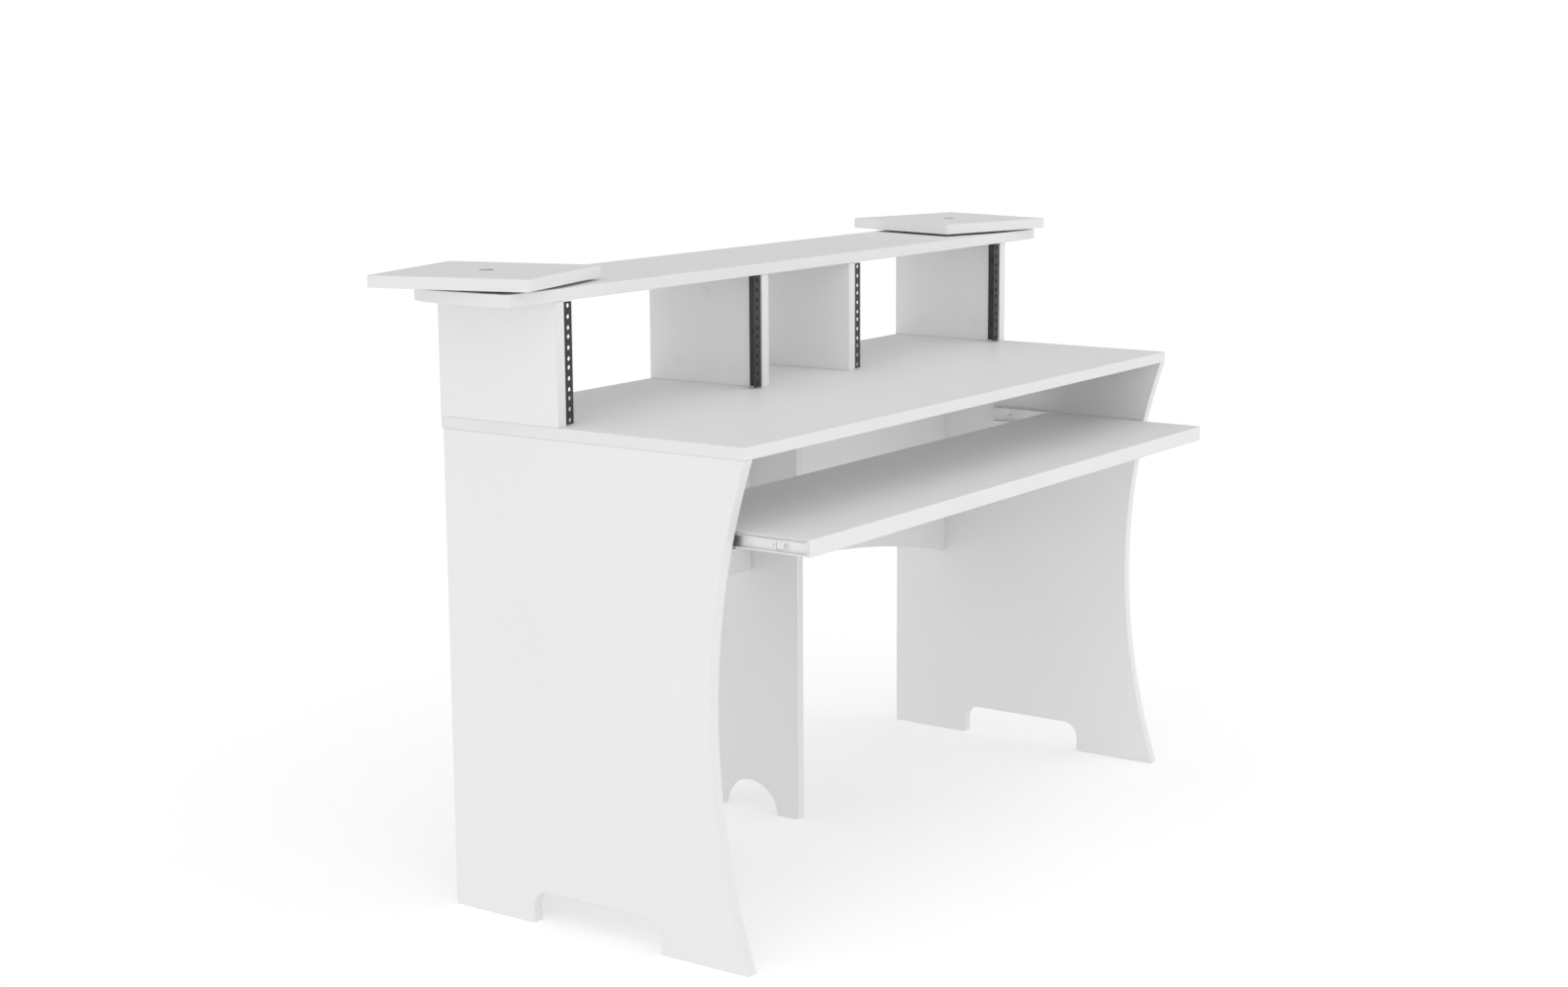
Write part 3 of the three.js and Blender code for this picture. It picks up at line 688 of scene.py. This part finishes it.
pivotWasher = {"outerRadius": 0.01, "boreRadius": 0.0044, "rounding": 0.0003, "around": 64}
glideDisc = {
    "outerRadius": 0.045,
    "boreRadius": 0.0044,
    "rounding": 0.0005,
    "grooves": (0.018, 0.027, 0.036),
    "grooveWidth": 0.0012,
    "grooveDepth": 0.0004,
    "grooveFloorShare": 0.6,
    "around": 128,
}
roundingShare = 0.3  # of a rounding's radius, how far its middle point lies from each side


# A flat ring with rounded edges: its closed profile runs out under it, up, and back over the top through its
# grooves.
def flatRingPart(look, bottom, top):
    outer, bore, r = look["outerRadius"], look["boreRadius"], look["rounding"]
    cut = r * roundingShare
    over = []
    for middle in sorted(look.get("grooves", ()), reverse=True):
        half, grooveFloor = look["grooveWidth"] / 2, top - look["grooveDepth"]
        floorHalf = half * look["grooveFloorShare"]
        over += [[middle + half, top], [middle + floorHalf, grooveFloor], [middle - floorHalf, grooveFloor],
                 [middle - half, top]]
    profile = [[bore + r, bottom], [outer - r, bottom], [outer - cut, bottom + cut], [outer, bottom + r],
               [outer, top - r], [outer - cut, top - cut], [outer - r, top], *over, [bore + r, top],
               [bore + cut, top - cut], [bore, top - r], [bore, bottom + r], [bore + cut, bottom + cut]]
    return ringStack(turnedRings(profile, look["around"]), loop=True)


pivotInsert = {
    "threadRadius": 0.006,
    "threadDepth": 0.0008,
    "threadPitch": 0.0025,
    "threadStart": 0.0006,  # from the lower end
    "threadGap": 0.0004,  # from the flange
    "boreRadius": 0.0043,
    "boreBevel": 0.0004,
    "footBevel": 0.0003,
    "flange": 0.0008,
    "flangeBevel": 0.0002,
    "around": 48,
}


# A threaded bush about z: its closed profile runs out under it, up the thread and down the bore.
def pivotInsertPart(look, bottom, top):
    around = look["around"]
    outer, bore = look["threadRadius"], look["boreRadius"]
    body = outer - look["threadDepth"]
    foot, rim, mouth = look["footBevel"], look["flangeBevel"], look["boreBevel"]
    flangeBottom = top - look["flange"]
    under = turnedRings([[bore + foot, bottom], [body - foot, bottom]], around)
    outside = threadRings(look, bottom + look["threadStart"], flangeBottom - look["threadGap"])
    crown = turnedRings([[outer, flangeBottom], [outer, top - rim], [outer - rim, top], [bore + mouth, top],
                         [bore, top - mouth], [bore, bottom + foot]], around)
    return ringStack(np.concatenate([under, outside, crown]), loop=True)


pivotPieces = (
    ("pivot_bolt", pivotBoltPart, pivotBolt, zincSteel, "zinc_steel"),
    ("pivot_washer", flatRingPart, pivotWasher, zincSteel, "zinc_steel"),
    ("glide_disc", flatRingPart, glideDisc, blackNylon, "black_nylon"),
    ("pivot_insert", pivotInsertPart, pivotInsert, rawBrass, "brass"),
)
for side, _ in sides:
    low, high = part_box(f"pivot_bolt_{side}")
    at = ((low.x + high.x) / 2, (low.y + high.y) / 2, 0)
    for stem, shape, look, finish, slotName in pivotPieces:
        node = f"{stem}_{side}"
        bottom, top = (corner.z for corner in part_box(node))
        makePiece(f"{node}_part", [moved(shape(look, bottom, top), at)], [finish], "desk", [node],
                  sharpDegrees=pivotSharpDegrees)
print("pivots made")


# Bent sheet metal
# An open path with each inner corner rounded by an arc.
def bentPath(corners, radius, steps=5):
    corners = np.asarray(corners, float)
    pieces = [corners[:1]]
    for before, corner, after in zip(corners, corners[1:], corners[2:]):
        arriving, leaving = unit(corner - before), unit(after - corner)
        angle = np.arctan2(arriving[0] * leaving[1] - arriving[1] * leaving[0], arriving @ leaving)
        pieces.append(cornerArc(corner, arriving, angle, radius, steps))
    return np.concatenate([*pieces, corners[-1:]])


def pathLength(path):
    return np.sum(np.linalg.norm(np.diff(path, axis=0), axis=1))


# A bent strip: S(s, t) = path(s) in the plane, t along the third axis, thickened by half the wall each way
# along the path's normal. Around a hole the grid's cells give way to a ring from their square outline to the
# circle, each point moved straight towards the hole's middle. Holes are (s, t, radius), and slits are
# (s from, s to, t from, t to).
def drilledStrip(path, length, wall, holes=(), slits=(), cellsPerHole=8, margin=1.25, digits=6):
    steps = np.linalg.norm(np.diff(path, axis=0), axis=1)
    reach = np.concatenate([[0], np.cumsum(steps)])
    spread = np.linspace(-margin, margin, cellsPerHole + 1)
    sParts = [reach] + [s + r * spread for s, t, r in holes] + [slit[:2] for slit in slits]
    tParts = [[0, length]] + [t + r * spread for s, t, r in holes] + [slit[2:] for slit in slits]
    sLines, tLines = (np.unique(np.round(np.concatenate(parts), digits)) for parts in (sParts, tParts))
    tangent = np.gradient(path, reach, axis=0)
    normal = unit(np.stack([-tangent[:, 1], tangent[:, 0]], -1))

    def surface(s, t, offset):
        at = [np.interp(s, reach, path[:, c]) + offset * np.interp(s, reach, normal[:, c]) for c in (0, 1)]
        return np.stack([*at, np.broadcast_to(t, np.shape(at[0]))], -1)

    def between(lines, low, high):
        return np.searchsorted(lines, np.round([low, high], digits))

    def borderOf(block):
        return np.concatenate([block[:-1, 0], block[-1, :-1], block[:0:-1, -1], block[0, :0:-1]])

    s, t = np.meshgrid(sLines, tLines, indexing="ij")
    front = np.arange(s.size).reshape(s.shape)
    points = [surface(s, t, wall / 2).reshape(-1, 3), surface(s, t, -wall / 2).reshape(-1, 3)]
    keep = np.ones((len(sLines) - 1, len(tLines) - 1), bool)
    quads = []
    total = 2 * s.size
    for middleS, middleT, radius in holes:
        half = radius * margin
        i0, i1 = between(sLines, middleS - half, middleS + half)
        j0, j1 = between(tLines, middleT - half, middleT + half)
        keep[i0:i1, j0:j1] = False
        rim = borderOf(front[i0:i1 + 1, j0:j1 + 1])
        away = unit(np.stack([s.flat[rim] - middleS, t.flat[rim] - middleT], -1)) * radius
        for offset in (wall / 2, -wall / 2):
            points.append(surface(middleS + away[:, 0], middleT + away[:, 1], offset))
        circle = total + np.arange(len(rim))
        under = circle + len(rim)
        total += 2 * len(rim)
        ahead = [np.roll(loop, -1) for loop in (rim, circle, under)]
        quads.append(np.stack([rim, ahead[0], ahead[1], circle], -1))
        quads.append(np.stack([circle, ahead[1], ahead[2], under], -1))
        quads.append(np.stack([under, ahead[2], ahead[0] + s.size, rim + s.size], -1))
    gaps = np.zeros_like(keep)
    for slit in slits:
        i0, i1 = between(sLines, *slit[:2])
        j0, j1 = between(tLines, *slit[2:])
        gaps[i0:i1, j0:j1] = True
    keep &= ~gaps
    around = np.pad(gaps, 1)
    edges = (((0, 0), (0, 1), around[:-2, 1:-1]), ((1, 0), (1, 1), around[2:, 1:-1]),
             ((0, 0), (1, 0), around[1:-1, :-2]), ((0, 1), (1, 1), around[1:-1, 2:]))
    for (di, dj), (ei, ej), beyond in edges:
        i, j = np.nonzero(gaps & ~beyond)
        here, there = front[i + di, j + dj], front[i + ei, j + ej]
        quads.append(np.stack([here, there, there + s.size, here + s.size], -1))
    cells = np.stack([front[:-1, :-1], front[1:, :-1], front[1:, 1:], front[:-1, 1:]], -1)[keep]
    quads += [cells, cells[:, ::-1] + s.size]
    border = borderOf(front)
    ahead = np.roll(border, -1)
    quads.append(np.stack([border, border + s.size, ahead + s.size, ahead], -1))
    used, faces = np.unique(np.concatenate(quads), return_inverse=True)
    return makePart(np.concatenate(points)[used], faces.reshape(-1, 4).tolist())


# A ball about z as turned rings: (r sin a, -r cos a), a from pole to pole.
def ballPart(centre, radius, finish, rings=12, around=20):
    angle = np.linspace(0, np.pi, rings + 1)
    profile = np.stack([radius * np.sin(angle), -radius * np.cos(angle)], -1)
    return moved(ringStack(turnedRings(profile, around), finish, capFinish=finish), centre)


screw = {
    "headRadius": 0.0036,
    "headHeight": 0.0021,
    "headBevel": 0.0002,
    "domeShares": (0.35, 0.6),  # of the head's height: where its dome starts, and how far it would rise
    "domeDegrees": (0, 20, 40, 60),
    "crown": 0.0001,  # from the dome's last ring up to the recess
    "crossWidth": 0.0009,
    "crossReach": 0.0021,
    "crossDepth": 0.0012,
    "crossFloorShare": 0.75,
    "threadRadius": 0.0018,
    "threadDepth": 0.0005,
    "threadPitch": 0.0014,
    "threadEnd": 0.0006,  # below the head's seat
    "ringsPerPitch": 6,
    "taper": 0.004,  # length of the tapered end
    "pointShare": 0.05,
    "around": 48,
}


# A pan-head screw along z, its head's seat at z = 0: a thread that tapers to its point, a domed head and a
# cross recess, whose outline is r = half width / sin of the angle to the nearest arm, up to the arm's reach.
def screwPart(look, length, headScale=1.0):
    around, bevel = look["around"], look["headBevel"]
    scaled = ("headRadius", "headHeight", "crossReach", "crossDepth")
    radius, height, reach, depth = (headScale * look[key] for key in scaled)
    thread = threadRings(look, -length, -look["threadEnd"], look["ringsPerPitch"])
    thread[:, :, :2] *= np.clip((thread[:, :, 2:] + length) / look["taper"], look["pointShare"], 1)
    curve = np.radians(look["domeDegrees"])
    domeStart, domeRise = look["domeShares"]
    dome = np.stack([radius * np.cos(curve), height * (domeStart + domeRise * np.sin(curve))], -1)
    head = turnedRings([[look["threadRadius"], 0], [radius - bevel, 0], [radius, bevel], *dome], around)
    angle = fullTurn(around)
    arm = np.abs((angle + np.pi / 4) % (np.pi / 2) - np.pi / 4)
    half = look["crossWidth"] / 2
    cross = half / np.maximum(np.sin(arm), half / reach)
    x, y = cross * np.cos(angle), cross * np.sin(angle)
    top = dome[-1, 1] + look["crown"]
    floor = top - depth
    recess = [np.stack([x * scale, y * scale, np.full(around, z)], -1)
              for scale, z in ((1, top), (look["crossFloorShare"], floor), (0, floor))]
    return ringStack(np.concatenate([thread, head, recess]))


# Screws with their heads' seats at the given places, all facing one way along x.
def addScrews(node, places, facing, body, finish, length, headScale=1.0):
    screws = [moved(screwPart(screw, length, headScale), place, (0, 1, 0), (0, 0, 1), (facing, 0, 0))
              for place in places]
    makePiece(f"{node}_screws", screws, [finish], body)


# Rack rails
rackRail = {
    "wall": 0.002,
    "edgeRounding": 0.0003,
    "bendRadius": 0.0018,
    "holeRadius": 0.0033,
    "holeFromEdge": 0.00755,
    # half the bay's spare height and a rack hole's inset, less the rail's end gap
    "bottomToFirstHole": 0.00595,
    "holeOffsets": (0, 0.015875, 0.03175),
    "unitHeight": 0.04445,
    "units": 4,
    "screwHoleRadius": 0.0023,
    "screwFromBack": 0.008,
    "screwInset": 0.03,
    "screws": 3,
    "screwLength": 0.014,
}


def addRackRail(side, sign, kind, look):
    node = f"rack_rail_{side}_{kind}"
    low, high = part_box(node)
    size = high - low
    bayward = -sign if kind == "outer" else sign
    wallX = low.x if bayward > 0 else high.x
    half = look["wall"] / 2
    path = bentPath([[size.x, half], [half, half], [half, size.y]], look["bendRadius"])
    holes = [(look["holeFromEdge"], look["bottomToFirstHole"] + unitIndex * look["unitHeight"] + offset,
              look["holeRadius"]) for unitIndex in range(look["units"]) for offset in look["holeOffsets"]]
    length = pathLength(path)
    screwHeights = np.linspace(look["screwInset"], size.z - look["screwInset"], look["screws"])
    holes += [(length - look["screwFromBack"], height, look["screwHoleRadius"]) for height in screwHeights]
    strip = drilledStrip(path, size.z, look["wall"], holes)
    origin = (wallX, low.y, low.z)
    makePiece(f"{node}_steel", [moved(strip, origin, (bayward, 0, 0))], [powderCoat], "desk",
              [node], bevel=look["edgeRounding"])
    screwY = high.y - look["screwFromBack"]
    faceX = wallX + bayward * look["wall"]
    places = [(faceX, screwY, low.z + height) for height in screwHeights]
    addScrews(node, places, bayward, "desk", powderCoat, look["screwLength"])


for side, sign in sides:
    for kind in ("outer", "inner"):
        addRackRail(side, sign, kind, rackRail)
print("rack rails made")


# Slides
panelInner = -panelHigh.x  # from the middle of the desk to the inner face of a side panel
slide = {
    "memberWall": 0.0012,
    "edgeRounding": 0.0002,
    "bendRadius": 0.0009,
    "holeRadius": 0.0022,
    "holeInset": 0.035,
    "holes": 3,
    "screwLength": 0.014,
    "innerSeat": 0.0115,  # face of the tray's member that its screw heads sit on, from the side panel
    "sunkHeadScale": 0.58,  # the panel's screw heads fit inside their holes, clear of the ball cage
    "outerHalf": [[0.0101, 0.0114], [0.0101, 0.0129], [0.0006, 0.0129]],  # (distance from side panel, height)
    "innerHalf": [[0.0051, 0.0084], [0.0121, 0.0084]],
    "stopHole": (0.056, 0.0016),  # distance from the front end and radius
    "stopTab": (0.039, 0.051),  # distances of its two ends from the front end
    "stopTabDrop": 0.0068,
    "stopTabHeight": 0.011,
    "stopTabSlit": 0.0008,
}
ballCage = {
    "web": 0.0019,
    "ballPlace": (0.0073, 0.01065),  # distance from the side panel, and height
    "ballRadius": 0.0015,
    "ballHoleScale": 1.04,
    "wall": 0.0008,
    "edge": 0.0006,
    "bend": 0.0006,
    "balls": 6,
    "ballMargin": 0.006,
}
ballSlot = 1


# A section's upper half followed by its mirror image.
def mirroredPath(half):
    half = np.asarray(half, float)
    return np.concatenate([half, half[::-1] * [1, -1]])


# Places a strip drawn as (distance from the side panel, height, distance from its front end) on one side.
def onSlide(part, sign, node):
    low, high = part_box(node)
    middle = (low.z + high.z) / 2
    return moved(part, (sign * panelInner, low.y, middle), (-sign, 0, 0), (0, 0, 1), (0, 1, 0))


# The stop tab's slits, in strip coordinates: one along its lower edge and one up its rear end.
def stopTabSlits(look, middle):
    start, end = look["stopTab"]
    low = middle + look["stopTabDrop"]
    width = look["stopTabSlit"]
    return [(low - width, low, start, end + width), (low - look["stopTabHeight"], low, end, end + width)]


def addSlideMember(node, half, body, sign, look, inner=False):
    low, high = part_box(node)
    length = high.y - low.y
    path = bentPath(mirroredPath(half), look["bendRadius"])
    middle = pathLength(path) / 2
    places = np.linspace(look["holeInset"], length - look["holeInset"], look["holes"])
    holes = [(middle, place, look["holeRadius"]) for place in places]
    if inner:
        holes.append((middle, *look["stopHole"]))
    slits = stopTabSlits(look, middle) if inner else ()
    strip = drilledStrip(path, length, look["memberWall"], holes, slits)
    makePiece(f"{node}_steel", [onSlide(strip, sign, node)], [zincSteel], body, [node],
              bevel=look["edgeRounding"])
    return places


def addBallCage(side, sign, look):
    node = f"ball_cage_{side}"
    low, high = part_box(node)
    length = high.y - low.y
    ballU, ballZ = look["ballPlace"]
    radius = look["ballRadius"]
    flangeEnd = ballU + radius + look["edge"]
    path = bentPath(mirroredPath([[flangeEnd, ballZ], [look["web"], ballZ]]), look["bend"])
    places = np.linspace(look["ballMargin"], length - look["ballMargin"], look["balls"])
    rows = ((flangeEnd - ballU, ballZ), (pathLength(path) - (flangeEnd - ballU), -ballZ))
    holes = [(s, place, radius * look["ballHoleScale"]) for s, z in rows for place in places]
    cage = drilledStrip(path, length, look["wall"], holes)
    balls = [ballPart((ballU, z, place), radius, ballSlot) for s, z in rows for place in places]
    parts = [onSlide(part, sign, node) for part in (cage, *balls)]
    makePiece(f"{node}_assembly", parts, [zincSteel, ballSteel], f"cage_{side}", [node])


# A screw in each hole, its head's seat at a distance from the side panel. Headed is 1 where the head points
# away from the panel and -1 where it points towards it.
def addSlideScrews(node, sign, places, seat, headed, body, look, headScale=1.0):
    low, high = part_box(node)
    seats = [(sign * (panelInner - seat), low.y + place, (low.z + high.z) / 2) for place in places]
    addScrews(node, seats, -sign * headed, body, zincSteel, look["screwLength"], headScale)


for side, sign in sides:
    outer, inner = f"slide_outer_{side}", f"slide_inner_{side}"
    outerPlaces = addSlideMember(outer, slide["outerHalf"], "desk", sign, slide)
    addSlideScrews(outer, sign, outerPlaces, 0, 1, "desk", slide, slide["sunkHeadScale"])
    innerPlaces = addSlideMember(inner, slide["innerHalf"], "tray", sign, slide, inner=True)
    addSlideScrews(inner, sign, innerPlaces, slide["innerSeat"], -1, "tray", slide)
    addBallCage(side, sign, ballCage)
print("slides made")


# Cam connectors
connector = {
    "camInset": 0.034,  # from the cam's middle to the board's end
    "threadLength": 0.011,
    "capRadius": 0.009,
    "capHeight": 0.0008,
    "capRimShare": 0.55,  # of the cap's height
    "capShoulderShare": 0.7,  # of the rim's height
    "capRoll": 0.0004,  # from the dome's last ring to the cap's radius
    "capDraft": 0.0001,
    "capRings": 10,
    "camRadius": 0.0072,
    "camDepth": 0.0124,
    "camSink": 0.0003,  # top of the cam below the board's face
    "camBevel": 0.0005,
    "boltRadius": 0.0034,
    "boltBevel": 0.0004,
    "boltInCam": 0.001,
    "threadRadius": 0.0025,
    "threadDepth": 0.0006,
    "threadPitch": 0.0016,
    "threadGap": 0.0001,
    "around": 48,
}
capSlot, camSlot, boltSlot = range(3)


# A cover cap: a shallow dome with a rolled rim, z = rim + (height - rim)(1 - (r / radius)^2).
def capPart(look):
    radius, height = look["capRadius"], look["capHeight"]
    rim = height * look["capRimShare"]
    r = np.linspace(0, radius - look["capRoll"], look["capRings"])
    dome = np.stack([r, rim + (height - rim) * (1 - (r / radius) ** 2)], -1)
    outer = radius - look["capDraft"]
    edge = [[outer, rim * look["capShoulderShare"]], [outer, 0], [0, 0]]
    return ringStack(turnedRings([*dome, *edge], look["around"]), capSlot, capFinish=capSlot)


# A cam: a drum about z with bevelled edges, its top a little below the board's face.
def camPart(look):
    radius, bevel = look["camRadius"], look["camBevel"]
    bottom, top = -look["camDepth"], -look["camSink"]
    profile = [[0, bottom], [radius - bevel, bottom], [radius, bottom + bevel], [radius, top - bevel],
               [radius - bevel, top], [0, top]]
    return ringStack(turnedRings(profile, look["around"]), camSlot, capFinish=camSlot)


# A bolt along +x from one end to another, threaded past the board's end.
def boltPart(look, start, boardEnd, end):
    around, radius, bevel = look["around"], look["boltRadius"], look["boltBevel"]
    shank = [[0, start], [radius - bevel, start], [radius, start + bevel], [radius, boardEnd - bevel],
             [radius - bevel, boardEnd - look["threadGap"]]]
    rings = [turnedRings(shank, around)]
    if end > boardEnd:
        rings.append(threadRings(look, boardEnd, end))
    rings.append(turnedRings([[0, end]], around))
    bolt = ringStack(np.concatenate(rings), boltSlot, capFinish=boltSlot)
    return moved(bolt, (0, 0, -boardThickness / 2), (0, 1, 0), (0, 0, 1), (1, 0, 0))


# The cap and cam at their place on the board's face, one pair at each end where it is double, and the bolt.
def addConnector(node, toward, out, look, double=False):
    low, high = (np.array(corner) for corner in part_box(node))
    toward, out = np.array(toward, float), np.array(out, float)
    middle = (low + high) / 2
    reach = look["camInset"] + look["threadLength"]
    end = np.where(toward > 0, high, low)
    face = np.where(out > 0, high, low)
    at = np.where(toward != 0, end - toward * reach, middle)
    camSpots = [0]
    if double:
        camSpots = [0, 2 * look["camInset"] + boardThickness]
        at = np.where(toward != 0, middle - toward * camSpots[1] / 2, middle)
    at = np.where(out != 0, face - out * look["capHeight"], at)
    parts = []
    for spot in camSpots:
        parts += [moved(part, (spot, 0, 0)) for part in (capPart(look), camPart(look))]
    inside = look["camRadius"] - look["boltInCam"]
    if double:
        parts.append(boltPart(look, inside, camSpots[1] - inside, camSpots[1] - inside))
    else:
        parts.append(boltPart(look, inside, look["camInset"], reach))
    placed = [moved(part, at, toward, np.cross(out, toward), out) for part in parts]
    makePiece(f"{node}_fitting", placed, [capPlastic, castZinc, zincSteel], "desk", [node])


up, down = (0, 0, 1), (0, 0, -1)
for side, sign in sides:
    inward, outward = (-sign, 0, 0), (sign, 0, 0)
    for spot in ("rear", "front"):
        addConnector(f"connector_side_{side}_{spot}", up, inward, connector)
    for spot in ("lower", "upper"):
        addConnector(f"connector_modesty_{side}_{spot}", outward, (0, 1, 0), connector)
    for kind, bayward in (("outer", inward), ("inner", outward)):
        for spot, toward in (("front", down), ("rear", down), ("top", up)):
            addConnector(f"connector_rack_{side}_{kind}_{spot}", toward, bayward, connector)
for spot in ("lower", "upper"):
    addConnector(f"connector_support_{spot}", (1, 0, 0), (0, 1, 0), connector, double=True)
for spot in ("rear", "front"):
    addConnector(f"connector_support_top_{spot}", up, (1, 0, 0), connector)
print("connectors made")


# Studio
studio = {
    "floorHalf": 60,
    "floorShade": (0.92, 0.92, 0.92),
    "floorRoughness": 0.9,
    "floorGlow": 0.215,
    "skyLevel": 0.703,
    "skyTilt": (-0.277, -0.402, 0.276),  # the sky brightens to the front left and overhead
    "sweepLevel": 1.3,  # white band that hides the floor's far edge
    "sweepRange": (0.03, 0.12),
}


def addStudio(look):
    half = look["floorHalf"]
    mesh = bpy.data.meshes.new("studio_floor")
    corners = [(-half, -half, 0), (half, -half, 0), (half, half, 0), (-half, half, 0)]
    mesh.from_pydata(corners, [], [(0, 1, 2, 3)])
    floorFinish = bpy.data.materials.new("studio_floor")
    floorFinish.use_nodes = True
    shader = floorFinish.node_tree.nodes["Principled BSDF"]
    shader.inputs["Base Color"].default_value = (*look["floorShade"], 1)
    shader.inputs["Roughness"].default_value = look["floorRoughness"]
    shader.inputs["Specular IOR Level"].default_value = 0
    shader.inputs["Emission Color"].default_value = (1, 1, 1, 1)
    shader.inputs["Emission Strength"].default_value = look["floorGlow"]
    mesh.materials.append(floorFinish)
    floor = bpy.data.objects.new("studio_floor", mesh)
    bpy.context.scene.collection.objects.link(floor)

    world = bpy.data.worlds.new("studio")
    bpy.context.scene.world = world
    world.use_nodes = True
    nodes, link = world.node_tree.nodes, world.node_tree.links.new
    direction = nodes.new("ShaderNodeTexCoord")
    tilt = nodes.new("ShaderNodeVectorMath")
    tilt.operation = "DOT_PRODUCT"
    tilt.inputs[1].default_value = look["skyTilt"]
    sky = nodes.new("ShaderNodeMath")
    sky.inputs[1].default_value = look["skyLevel"]
    split = nodes.new("ShaderNodeSeparateXYZ")
    sweep = nodes.new("ShaderNodeMapRange")
    sweep.interpolation_type = "SMOOTHSTEP"
    sweep.inputs["From Min"].default_value, sweep.inputs["From Max"].default_value = look["sweepRange"]
    sweep.inputs["To Min"].default_value = look["sweepLevel"]
    link(direction.outputs["Generated"], tilt.inputs[0])
    link(direction.outputs["Generated"], split.inputs["Vector"])
    link(tilt.outputs["Value"], sky.inputs[0])
    link(split.outputs["Z"], sweep.inputs["Value"])
    link(sky.outputs["Value"], sweep.inputs["To Max"])
    link(sweep.outputs["Result"], nodes["Background"].inputs["Strength"])
    nodes["Background"].inputs["Color"].default_value = (1, 1, 1, 1)
    bpy.context.scene.view_settings.view_transform = "Standard"


addStudio(studio)
print("studio lit")
